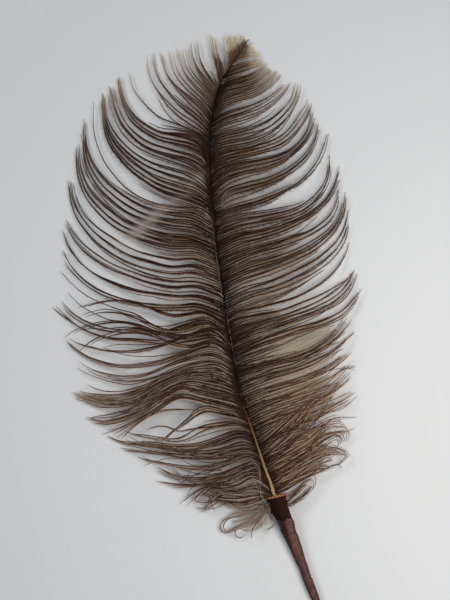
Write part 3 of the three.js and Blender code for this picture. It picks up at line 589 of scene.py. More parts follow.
def barb_colours(mid, along, tone, spark, pale=0.0):
    """Ramus, inner fringe and outer fringe colours along a barb. mid is in picture units."""
    u, v = mid[:, 0], mid[:, 1]
    top = np.clip((150 - v) / 85, 0, 1)
    crown = np.clip((74 - v) / 26, 0, 1) * (1 - 0.5 * np.clip((222 - u) / 8, 0, 1))
    ends = crown * np.clip(np.where(u < shaft_u(v), 0.85, 0.35) + 1.0 * along, 0, 1)
    tip = np.clip((along - 0.74 + 0.14 * top + np.where(u < shaft_u(v), 0.26, 0.2) * crown) / 0.26, 0, 1)
    tan = np.clip(tip * (0.18 + 1.0 * top), 0, 1)
    warm = np.clip((u - 235) / 80, 0, 1) * np.clip((v - 290) / 110, 0, 1)
    off = u - shaft_u(v)
    # near is painted shade: the barbs darken towards the shaft, deepest in the groove between the vanes, with more of
    # it in stretches of the lower groove.
    near = 0.55 * np.exp(-((off / np.where(off > 0, 7.0, 5.0)) ** 2)) + 0.22 * np.exp(-np.abs(off) / 45)
    # Painted highlight: pale fringe along the left edge of the groove, where it also lifts the painted shade.
    comb_highlight = np.interp(v, [150, 180, 300, 335, 410, 440, 495], [0, 1, 1, 0.45, 0.3, 0.0, 0.0]) * np.exp(-(((off + 5) / 4.5) ** 2))
    near = near + 0.42 * np.clip((v - 318) / 20, 0, 1) * np.clip((470 - v) / 40, 0, 1) * np.exp(-((off / 30) ** 2)) * (off > 0)
    near = near + 0.25 * np.clip((v - 385) / 25, 0, 1) * np.clip((480 - v) / 20, 0, 1) * np.exp(-(((off + 12) / 24) ** 2)) * (off < 0)
    near = np.minimum(near, np.interp(v, [130, 155, 245, 270, 340, 362], [0.66, 0.5, 0.4, 0.48, 0.5, 0.68])) * np.clip((v - 50) / 60, 0.1, 1) * (0.0 if pale else 1.0) * np.where(off < 0, np.interp(v, [325, 365], [0.4, 1.0]), 1.0) * (1 - 0.8 * comb_highlight)
    low = np.clip((v - 320) / 60, 0, 1)
    ramus = mix(RAMUS_DARK, RAMUS_LIGHT, np.clip(0.06 + 0.16 * low + 0.18 * along + 0.32 * warm + 0.9 * ends + tone * 0.15, 0, 1))
    inner = mix(FRINGE_IN, FRINGE_OUT, np.clip(0.14 + 0.42 * low + 0.12 * along + 0.25 * warm + 0.7 * ends + tone * 0.2, 0, 1))
    outer = mix(FRINGE_OUT, PALE, np.clip(0.16 + 0.25 * low + 0.25 * tip + tone * 0.25 + 0.6 * spark, 0, 1))
    outer = mix(outer, FRINGE_IN, np.clip(0.16 - tone * 0.4 - 0.2 * warm - 0.2 * low - 0.5 * spark, 0, 0.6))
    outer = mix(outer, BEIGE, 0.6 * warm)
    shade = np.maximum(np.clip((78 - v) / 28, 0, 1), 0.6 * np.clip((120 - v) / 45, 0, 1) * (off < 0))
    ramus, inner = mix(ramus, srgb(112, 90, 68), 0.62 * shade), mix(inner, srgb(160, 136, 108), 0.72 * np.clip((132 - v) / 50, 0, 1))
    cool = np.clip((v - 325) / 50, 0, 1) * np.clip((6 - off) / 12, 0, 1)
    inner, outer = mix(inner, srgb(130, 112, 101), 0.5 * cool), mix(outer, srgb(172, 160, 150), 0.65 * cool)
    # The painted highlight along the groove turns the fringe pale.
    outer, inner = mix(outer, PALE, 0.85 * comb_highlight), mix(inner, FRINGE_OUT, 0.3 * comb_highlight)
    # Painted highlight: a pale line along the left edge of the groove.
    rim_highlight = np.interp(v, [204, 213, 236, 298, 306], [0, 1, 0.8, 0.75, 0]) * np.exp(-(((off + 3.4) / 2.8) ** 2))
    inner, outer = mix(inner, RIM_HIGHLIGHT, 0.25 * rim_highlight), mix(outer, RIM_HIGHLIGHT, 0.6 * rim_highlight)
    loops = np.clip((v - 502) / 12, 0, 1)
    ramus = mix(ramus, srgb(146, 122, 104), 0.8 * loops)
    # Painted shade: these under-strands take the beige-grey of the floor in shade, darker in some places and paler in
    # others.
    if pale == "haze":
        down = mix(FLOOR_SHADE_TINT, srgb(166, 152, 138), np.clip(0.5 - off / 10, 0, 1))
        down = mix(down, srgb(120, 106, 88), np.clip((v - 478) / 10, 0, 1))
        down = mix(down, srgb(106, 90, 74), 0.9 * np.clip((v - 372) / 28, 0, 1) * np.clip(off / 10, 0, 1))
        down = mix(down, srgb(170, 158, 142), 0.8 * np.clip((u - 306) / 30, 0, 1) * np.clip((v - 320) / 15, 0, 1) * np.clip((390 - v) / 25, 0, 1))
        down = mix(down, srgb(126, 115, 104), np.clip((318 - v) / 12, 0, 1))
        ramus, inner, outer = mix(down, inner, 0.12 + 0 * u), mix(down, inner, 0.12 + 0 * u), mix(down, PALE, 0.2 + 0 * u)
    elif pale:
        ramus, inner, outer = mix(ramus, WORN_PALE, pale + 0 * u), mix(inner, WORN_PALE, pale + 0 * u), mix(outer, PALE, pale * 0.6 + 0 * u)
    # Wear and painted sheen: pale patches across the barbs, some of them bleached wear and some a painted sheen.
    wear_and_sheen, solid = wear_and_sheen_at(u, v)
    wear_and_sheen = wear_and_sheen * (0.8 + 0.2 * tone)
    bright = np.maximum(np.clip((v - 320) / 50, 0, 1), 0.75 * np.clip((v - 200) / 90, 0, 1) * np.clip(off / 20, 0, 1))
    bright = np.maximum(bright, 0.5 * np.clip((v - 170) / 70, 0, 1) * np.clip((-off - 8) / 14, 0, 1))
    bright = bright * (1 - 0.4 * np.clip((v - 422) / 16, 0, 1) * np.clip((496 - v) / 12, 0, 1) * (off < 0))
    out = []
    for c, k, more in ((ramus, 0.75, 0.3), (inner, 0.9, 0.75), (outer, 0.9, 0.5)):
        c = mix(c, mix(TAN, CREAM, crown) * (0.8 if k < 0.8 else 1.0), tan * k)
        c = mix(c, srgb(190, 176, 158), wear_and_sheen * (solid if k < 0.8 else 0.95))
        # near, the painted groove shade, darkens each colour here.
        c = np.clip(c * ((1 - near) * (1 + more * bright))[:, None], 0, 0.85)
        out.append(c)
    return out


# Worn, bleached patches in the picture, and patches of painted sheen at (197, 181), (182, 197) and (228, 197): centre,
# direction, half length, half width, how much, and how much of that reaches the barbs' own dark spines.
WORN_AND_SHEEN = [
    (146, 224, 0.74, -0.67, 24, 5.0, 0.95, 0.8), (120, 246, 0.6, -0.8, 11, 4.0, 0.55, 0.5), (197, 181, 0.78, -0.62, 13, 5.5, 0.95, 0.12),
    (182, 197, 0.97, -0.25, 13, 3.2, 0.75, 0.2),
    (172, 302, 0.98, -0.2, 14, 2.5, 0.9, 0.5), (228, 197, 0.85, -0.5, 9, 4.0, 0.5, 0.2)]


def wear_and_sheen_at(u, v):
    """Worn, bleached patches, and patches of painted sheen, that run across neighbouring barbs."""
    wear_and_sheen, solid = np.zeros(len(u)), np.zeros(len(u))
    for pu, pv, du, dv, long, wide, much, share in WORN_AND_SHEEN:
        a = (u - pu) * du + (v - pv) * dv
        c = (v - pv) * du - (u - pu) * dv
        here = much * np.exp(-((a / long) ** 4) - (c / wide) ** 2)
        solid = np.where(here > wear_and_sheen, share, solid)
        wear_and_sheen = np.maximum(wear_and_sheen, here)
    return wear_and_sheen, solid


def tube(soup, p, radius, colour, row, rows, sides=3):
    """Tapered tube with a pointed end, and its strip of the map."""
    n = len(p)
    t = np.gradient(p, axis=0)
    t /= np.linalg.norm(t, axis=1)[:, None]
    side = np.cross(t, [0, 0, 1.0])
    side /= np.linalg.norm(side, axis=1)[:, None] + 1e-9
    up = np.cross(side, t)
    a = np.arange(sides) / sides * 2 * np.pi + np.pi / 2
    ring = p[:, None] + radius[:, None, None] * (np.cos(a)[None, :, None] * side[:, None] + np.sin(a)[None, :, None] * up[:, None])
    v = ring.reshape(-1, 3)
    i, k = np.meshgrid(np.arange(n - 1), np.arange(sides), indexing="ij")
    i, k = i.ravel(), k.ravel()
    k2 = (k + 1) % sides
    q = np.stack([i * sides + k, i * sides + k2, (i + 1) * sides + k2, (i + 1) * sides + k], 1)
    f = np.concatenate([q[:, [0, 1, 2]], q[:, [0, 2, 3]]])
    s = arc(p)
    s = 0.002 + 0.996 * s / s[-1]
    y0 = (row + 0.04 + 0.26 * k / sides) / rows
    y1 = (row + 0.04 + 0.26 * (k + 1) / sides) / rows
    uvq = np.stack([np.stack([s[i], y0], 1), np.stack([s[i], y1], 1), np.stack([s[i + 1], y1], 1), np.stack([s[i + 1], y0], 1)], 1)
    uv = np.concatenate([uvq[:, [0, 1, 2]], uvq[:, [0, 2, 3]]]).reshape(-1, 2)
    # End caps: a fan at the root, none at the pointed tip.
    caps = np.array([[0, j + 1, j] for j in range(1, sides - 1)] + [[(n - 1) * sides, (n - 1) * sides + j, (n - 1) * sides + j + 1] for j in range(1, sides - 1)])
    cap_uv = []
    for c in caps:
        e = 0.001 if c[0] == 0 else 0.999
        cap_uv += [(e - 0.001, (row + 0.05) / rows), (e + 0.001, (row + 0.05) / rows), (e, (row + 0.25) / rows)]
    soup.add(v, np.concatenate([f, caps]), np.repeat(colour, sides, 0), np.concatenate([uv, cap_uv]), True)


def slivers(soup, p, t, side, length, angle, bend, width, lift, c0, c1, row, rows, band, two=True):
    """One barbule at each point p: a thin blade that leaves the barb at angle and bends along it."""
    n = len(p)
    if n == 0:
        return
    up = np.array([0, 0, 1.0])
    d0 = np.cos(angle)[:, None] * t + np.sin(angle)[:, None] * side + lift[:, None] * up
    a2 = angle - bend
    d1 = np.cos(a2)[:, None] * t + np.sin(a2)[:, None] * side + (lift - 0.12)[:, None] * up
    w0 = np.cross(up, d0)
    w0 /= np.linalg.norm(w0, axis=1)[:, None]
    w1 = np.cross(up, d1)
    w1 /= np.linalg.norm(w1, axis=1)[:, None]
    base = p - side * 0.05
    mid = base + d0 * (length * 0.45)[:, None]
    tip = mid + d1 * (length * 0.55)[:, None]
    x = np.linspace(0.004, 0.996, n + 1)
    xa, xb = x[:-1], x[:-1] + np.diff(x) * 0.94
    y0, y1, y2 = ((row + b) / rows for b in (band[0], band[0] * 0.5 + band[1] * 0.5, band[1]))
    k = np.arange(n)
    if two:
        v = np.concatenate([base - w0 * width, base + w0 * width, mid - w1 * width * 0.95, mid + w1 * width * 0.95, tip])
        f = np.concatenate([np.stack([k, k + n, k + 3 * n], 1), np.stack([k, k + 3 * n, k + 2 * n], 1), np.stack([k + 2 * n, k + 3 * n, k + 4 * n], 1)])
        c = np.concatenate([c0, c0, mix(c0, c1, np.full(n, 0.4)), mix(c0, c1, np.full(n, 0.4)), c1])
        A, B = np.stack([xa, np.full(n, y0)], 1), np.stack([xb, np.full(n, y0)], 1)
        C, D = np.stack([xa, np.full(n, y1)], 1), np.stack([xb, np.full(n, y1)], 1)
        E = np.stack([(xa + xb) / 2, np.full(n, y2)], 1)
        uv = np.concatenate([np.stack([A, B, D], 1), np.stack([A, D, C], 1), np.stack([C, D, E], 1)]).reshape(-1, 2)
    else:
        v = np.concatenate([base - w0 * width, base + w0 * width, tip])
        f = np.stack([k, k + n, k + 2 * n], 1)
        c = np.concatenate([c0, c0, c1])
        A, B = np.stack([xa, np.full(n, y0)], 1), np.stack([xb, np.full(n, y0)], 1)
        E = np.stack([(xa + xb) / 2, np.full(n, y2)], 1)
        uv = np.stack([A, B, E], 1).reshape(-1, 2)
    soup.add(v, f, c, uv, False)


def fullness(pic):
    """How wide the fringe is, against the usual width."""
    u, v = pic[:, 0], pic[:, 1]
    right = np.clip((u - shaft_u(v)) / 20, 0, 1)
    left_full = np.interp(v, [90, 130, 170, 270, 292, 312, 340, 400], [1.25, 1.1, 0.98, 0.95, 0.84, 0.9, 0.92, 1.05])
    right_full = np.interp(v, [60, 80, 120, 170, 230, 330, 400], [1.3, 1.05, 1.1, 1.25, 1.3, 1.2, 1.0])
    return (left_full * (1 - right) + right_full * right) * (1 + 0.9 * wear_and_sheen_at(u, v)[0])


def barb(soup, curve, side_sign, lift, row, rows, style, seed):
    """One barb with its barbules. curve: picture points from the shaft to the tip."""
    p = on_vane(curve)
    s = arc(p)
    long = s[-1]
    # Out of the side of the shaft, up over the edge of the groove, then level.
    rise = 2.2 * (1 - np.exp(-s / 5.0)) * np.exp(-s / 45.0) - 0.5 * np.exp(-s / 2.5)
    w = s / long
    wave = 0.35 * smooth_noise(s, 17, seed) * np.minimum(1, s / 12) + 0.9 * smooth_noise(s, 41, seed + 7) * w**1.5
    p[:, 2] += rise + (lift + wave) * np.minimum(1, s / 10) + style["float"] * w**3
    n = int(np.clip(long / style["step"], 7, 46))
    p3 = resample(p, n)
    s3 = arc(p3)
    w3 = s3 / s3[-1]
    pic = np.stack([np.interp(s3 / s3[-1], s / long, curve[:, k]) for k in (0, 1)], 1)
    tone = 0.6 * np.sin(seed * 4.7) + 0.4 * smooth_noise(s3, 23, seed + 3)
    spark = np.clip((smooth_noise(s3, 7, seed + 21) - 0.45) / 0.4, 0, 1)
    ramus, inner, outer = barb_colours(pic, w3 * style["reach"], tone, spark, style.get("pale", 0.0))
    stout = np.interp(pic[:, 1], [50, 80], [0.62, 1.0]) * np.where(pic[:, 0] < shaft_u(pic[:, 1]), np.interp(pic[:, 1], [150, 310, 360, 430], [1.2, 1.15, 0.95, 0.88]), np.interp(pic[:, 1], [330, 400], [1.05, 0.86]))
    stout = stout * (1 + 0.25 * np.clip((pic[:, 1] - 504) / 8, 0, 1))
    r = style["thick"] * stout * (1 - 0.62 * w3**1.1)
    r[-1] = 0.02
    tube(soup, p3, r, ramus, row, rows)
    t3 = np.gradient(p3, axis=0)
    t3 /= np.linalg.norm(t3, axis=1)[:, None]
    for kind in ("main", "back"):
        gap, size, ang, width = style[kind]
        if gap <= 0:
            continue
        start = 1.2 + 0.8 * rng.random()
        m = max(0, int((s3[-1] - start) / gap))
        q = start + (np.arange(m) + rng.random(m) * 0.6) * gap
        q = q[q < s3[-1] - 0.2]
        if len(q) < 2:
            continue
        at = lambda a: np.stack([np.interp(q, s3, a[:, k]) for k in range(a.shape[1])], 1)
        pos, tan = at(p3), at(t3)
        tan /= np.linalg.norm(tan, axis=1)[:, None]
        out = np.cross(tan, [0, 0, 1.0])
        out /= np.linalg.norm(out, axis=1)[:, None]
        out *= side_sign * (1 if kind == "main" else -1)
        f = q / s3[-1]
        tuft = smooth_noise(q, 2.3, seed + 11)
        size_here = size * at(fullness(pic)[:, None])[:, 0] * (1 - 0.62 * f**2.2) * np.clip(0.35 + q / 14, 0, 1) * (1 + 0.18 * tuft + 0.12 * rng.standard_normal(len(q)))
        calm = np.clip((at(pic)[:, 1] - 215) / 90, 0, 1) * (side_sign > 0)
        angle = np.radians(ang * (1 - 0.35 * f) * (1 - 0.28 * calm) + (7 - 4 * calm) * tuft + 5 * rng.standard_normal(len(q)))
        lift_here = style.get("droop", -0.30) + 0.05 * rng.standard_normal(len(q))
        slivers(soup, pos, tan, out, size_here, angle, np.radians(-2 + 10 * rng.random(len(q))), width * (1 - 0.45 * f)[:, None],
                lift_here, at(inner), at(outer), row, rows, (0.36, 0.70) if kind == "main" else (0.76, 0.97), kind == "main")


VANE = dict(step=3.4, thick=0.62, reach=1.0, float=1.2, main=(0.38, 3.6, 33, 0.155), back=(0.55, 1.9, 28, 0.13))
UNDER = dict(step=4.5, thick=0.45, reach=0.5, float=0.0, main=(0.42, 3.8, 34, 0.17), back=(0.6, 2.0, 28, 0.13))
ROOT = dict(step=2.5, thick=0.46, reach=0.1, float=0.0, main=(0.42, 3.4, 36, 0.16), back=(0.6, 2.4, 32, 0.13))
BASE = dict(step=3.2, thick=0.6, reach=0.1, float=0.0, main=(0.5, 3.2, 50, 0.26), back=(0.6, 2.6, 50, 0.24))
# Thin beige-grey strands that paint the floor's shade under the vane.
SHADE_HAZE = dict(step=5.0, thick=0.12, reach=0.8, float=0.0, pale="haze", droop=-0.02, main=(0.36, 6.4, 38, 0.17), back=(0.45, 5.6, 38, 0.17))
PALE_STRAND = dict(step=1.6, thick=0.27, reach=0.9, float=0.3, pale=0.9, main=(0.5, 1.0, 40, 0.04), back=(0.5, 0.8, 40, 0.04))
DOWN = dict(step=2.0, thick=0.40, reach=1.0, float=0.5, main=(0.40, 1.6, 34, 0.07), back=(0.5, 1.1, 34, 0.06))
STRAND = dict(step=1.7, thick=0.58, reach=1.0, float=0.3, main=(0.42, 1.7, 30, 0.10), back=(0.55, 1.1, 30, 0.09))


def curl(c, start, turn):
    """Bends the part of a curve after start more and more, by turn in all."""
    d = np.diff(c, axis=0)
    w = np.clip((np.linspace(0, 1, len(d)) - start) / (1 - start), 0, 1) ** 1.4 * turn
    d = np.stack([d[:, 0] * np.cos(w) - d[:, 1] * np.sin(w), d[:, 0] * np.sin(w) + d[:, 1] * np.cos(w)], 1)
    return np.vstack([c[:1], c[0] + np.cumsum(d, axis=0)])


def strays(barbs):
    """Loose barbs that lie across the others where the plume is ruffled."""
    made = []
    for side, v0, v1, count, wild, hook, height in STRAYS:
        near = [b for b in barbs if b[0] == side and v0 <= b[1][0, 1] <= v1 and b[3] is VANE]
        for _ in range(count):
            c = near[int(rng.integers(len(near)))][1]
            w = np.linspace(0, 1, len(c))
            others = [b[1] for b in near if 5 < abs(b[1][0, 1] - c[0, 1]) < (26 if v0 > 320 else 13)]
            if others:
                to = others[int(rng.integers(len(others)))]
                q = (np.clip((w - 0.15) / 0.75, 0, 1) ** 1.3)[:, None] * rng.uniform(0.5, 1.15)
                c = c * (1 - q) + to * q
            t = np.gradient(c, axis=0)
            t /= np.linalg.norm(t, axis=1)[:, None] + 1e-9
            sway = wild * (rng.uniform(-1, 1) * np.sin(w * rng.uniform(2.5, 5.5)) + 0.5 * smooth_noise(arc(c), 26, rng.uniform(0, 99)))
            c = c + np.stack([-t[:, 1], t[:, 0]], 1) * (sway * w**0.8)[:, None]
            c = c[: max(20, int(len(c) * rng.uniform(0.72, 0.97)))]
            made.append([side, curl(resample(c, 64), rng.uniform(0.55, 0.8), rng.normal() * hook), rng.uniform(0.9, 2.2), LOOSE, 1.0])
    return made


# Side, from and to on the shaft, how many, sway in picture units, hook in radians, height.
STRAYS = [
    ("L", 432, 464, 14, 4.0, 0.5, 1.0), ("L", 462, 498, 12, 4.0, 1.2, 1.0), ("L", 322, 378, 6, 4.0, 0.2, 1.0), ("L", 376, 416, 12, 2.0, 0.2, 1.0),
    ("R", 395, 440, 9, 4.0, 0.5, 1.0), ("R", 440, 500, 13, 4.0, 1.4, 1.0), ("R", 300, 395, 12, 3.0, 0.2, 1.0),
    ("R", 226, 300, 5, 1.5, 0.1, 1.0), ("L", 228, 310, 5, 1.6, 0.1, 1.0), ("R", 70, 180, 6, 2.0, 0.1, 1.0)]
LOOSE = dict(step=2.6, thick=0.62, reach=1.0, float=1.4, main=(0.42, 2.4, 30, 0.14), back=(0.6, 1.5, 28, 0.12))


def lock_barbs():
    """Every barb: piece, curve, side, lift, style."""
    barbs, edges = [], {"L": [], "R": []}
    for name, side, count, lift, guides in LOCKS:
        fan = [spline([(shaft_u(v), v)] + list(pts), 64) for v, pts in guides]
        style = DOWN if name[:2] in ("LT", "RZ") else VANE
        fan = np.array(fan)
        v_mid = (guides[0][0] + guides[-1][0]) / 2
        if style is VANE and count > 4:
            count = int(round(count * (0.74 if side == "R" and v_mid > 385 else 0.88 if side == "L" and 262 < v_mid < 312 else 0.98 if side == "L" and 150 < v_mid < 312 else 0.86)))
        along = np.linspace(0, 1, 64)
        i = 0
        while i < count:
            # Barbs cling together in strands of two to four, with gaps between.
            band = side == "L" and 150 < v_mid < 312
            size = min(int(rng.choice([2, 2, 3, 3, 4] if band else [1, 2, 2, 2, 3] if side == "L" and fan[0][0, 1] < 330 else [1, 2, 2, 3, 3] if side == "L" and v_mid > 425 else [1, 1, 2, 2, 3])), count - i)
            if side == "R" and v_mid < 110:
                size = 1
            middle = i + size / 2
            hold = rng.uniform(0.55, 0.8) if band else rng.uniform(0.78, 0.96)
            for j in range(i, i + size):
                own = j + 0.5 + rng.uniform(-0.1, 0.1)
                early = band and v_mid > 262
                pull = hold * (0.75 if v_mid < 118 and side == "R" else 1.0) * np.clip((along - (0.3 if v_mid < 150 else 0.04 if early else 0.1)) / (0.14 if early else 0.3), 0, 1) * (1 - 0.35 * np.clip((along - 0.8) / 0.2, 0, 1))
                if len(fan) > 1:
                    w = np.clip((own + (middle - own) * pull) / count, 0, 0.999) * (len(fan) - 1)
                    k = w.astype(int)
                    f = (w - k)[:, None]
                    r = np.arange(64)
                    c = fan[k, r] * (1 - f) + fan[k + 1, r] * f
                else:
                    c = fan[0] + np.array([0.9 * j, 0.7 * j])
                barbs.append([side, c, lift + rng.uniform(-0.35, 0.35), style, 1.0])
            i += size
        if style is VANE and len(fan) > 1:
            edges[side].append((guides[0][0], guides[-1][0], fan[0], fan[-1]))
            # Shorter barbs below, which close the vane near the shaft.
            for i in range(max(1, int(count * (0.6 if v_mid < 150 else 0.15 if side == "R" and v_mid > 340 else 0.3 if v_mid > 410 else 0.06 if side == "L" and 285 < v_mid < 350 else 0.4)))):
                w = rng.uniform(0, len(fan) - 1)
                k = min(int(w), len(fan) - 2)
                c = fan[k] * (1 - (w - k)) + fan[k + 1] * (w - k)
                m = int(64 * rng.uniform(0.25, 0.55))
                barbs.append([side, c[:m], lift - 1.1 + rng.uniform(-0.3, 0.3), UNDER, 1.0])
    # Short barbs along the shaft, which crowd its groove.
    for side in "LR":
        for v in np.arange(334, 440, 2.1) if side == "R" else ():
            rows = [e for e in edges[side] if e[0] - 8 <= v <= e[1] + 8] or edges[side]
            e = min(rows, key=lambda e: abs((e[0] + e[1]) / 2 - v))
            c = e[2] + np.array([shaft_u(v) - e[2][0, 0], v - e[2][0, 1]])
            c = c[: max(5, int(np.searchsorted(arc(c), rng.uniform(18, 36))))]
            barbs.append([side, resample(c, 24), -2.9, BASE, 1.0])
        for v in np.arange(94, 498, 2.3):
            rows = [e for e in edges[side] if e[0] - 8 <= v <= e[1] + 8] or edges[side]
            e = min(rows, key=lambda e: abs((e[0] + e[1]) / 2 - v))
            w = np.clip((v - e[0]) / max(e[1] - e[0], 1), 0, 1)
            c = e[2] * (1 - w) + e[3] * w
            c = c + np.array([shaft_u(v) - c[0, 0], v - c[0, 1]])
            reach = rng.uniform(9, 22) * np.clip((v - 40) / 60, 0.4, 1)
            c = c[: max(5, int(np.searchsorted(arc(c), reach)))]
            barbs.append([side, resample(c, 16), rng.uniform(-1.0, 0.1), ROOT, 1.0])
        for v in np.arange(112, 498, 2.7):
            rows = [e for e in edges[side] if e[0] - 8 <= v <= e[1] + 8] or edges[side]
            e = min(rows, key=lambda e: abs((e[0] + e[1]) / 2 - v))
            c = e[2] + np.array([shaft_u(v) - e[2][0, 0], v - e[2][0, 1]])
            c = c[: max(5, int(np.searchsorted(arc(c), rng.uniform(10, 15) * (1.6 if side == "R" and v > 335 else 1.0))))]
            barbs.append([side, resample(c, 16), -2.2, BASE, 1.0])
    # Barbs between neighbouring locks, which bend into one or the other.
    for side, locks in edges.items():
        locks.sort(key=lambda e: e[0])
        for (a0, a1, _, low), (b0, b1, high, _) in zip(locks, locks[1:]):
            for x in np.arange(a1 + 1.2, b0, 1.9) if b0 - a1 < 26 else []:
                w = (x - a1) / max(b0 - a1, 1e-6)
                along = np.linspace(0, 1, 64)[:, None]
                to = 1.0 if w > 0.5 else 0.0
                pull = w + (to - w) * np.clip((along - 0.15) / 0.45, 0, 1) ** 1.2
                c = low * (1 - pull) + high * pull
                barbs.append([side, c[: int(64 * rng.uniform(0.35, 0.75))], -0.4 + rng.uniform(-0.3, 0.3), UNDER, 1.0])
    barbs += strays(barbs)
    # Painted shade: beige-grey strands beneath the lower right vane, in the tint of the floor in shade.
    for (v0, v1, a0, a1) in edges["R"]:
        for w in (0.2, 0.5, 0.8) if 185 < v1 < 215 or 258 < v1 < 330 else (0.5,) if 215 < v1 < 258 else ():
            w = w + rng.uniform(-0.1, 0.1)
            c = a0 * (1 - w) + a1 * w
            barbs.append(["R", resample(c[int(rng.uniform(14, 22)):int(rng.uniform(32, 44))], 32), rng.uniform(-5.0, -3.0), SHADE_HAZE, 1.0])
    low = [e for e in edges["R"] if e[1] > 325]
    for (_, _, a0, a1), (_, _, b0, b1) in zip(low, low[1:]):
        for w in () if a1[-1, 1] < 300 else (0.2, 0.5, 0.8):
            w = w + rng.uniform(-0.1, 0.1)
            c = a1 * (1 - w) + b0 * w
            a, z = int(rng.uniform(8, 16)), int(rng.uniform(42, 57))
            barbs.append(["R", resample(c[a:z] + np.array([0, rng.uniform(-3, 3)]), 32), rng.uniform(-5.5, -3.5), SHADE_HAZE, 1.0])
        for w in (rng.uniform(0.05, 0.35), rng.uniform(0.4, 0.65), rng.uniform(0.7, 0.95)):
            c = b0 * (1 - w) + b1 * w
            barbs.append(["R", resample(c[int(rng.uniform(6, 12)):int(rng.uniform(42, 57))], 32), rng.uniform(-5.0, -3.0), SHADE_HAZE, 1.0])
    for style, side, lift, root, points in SINGLES:
        points = points if root is None else [(shaft_u(root), root)] + points
        barbs.append([side, spline(points, 64), lift, PALE_STRAND if style == "pale" else STRAND, 1.0])
    # Painted shade strands in the tint of the floor in shade.
    for points in SHADE_VEIL:
        right = points[0][0] < points[-1][0]
        barbs.append(["R" if right else "L", spline(points, 32), -6.5 if right else rng.uniform(-3.5, -1.5), SHADE_HAZE, 1.0])
    return barbs


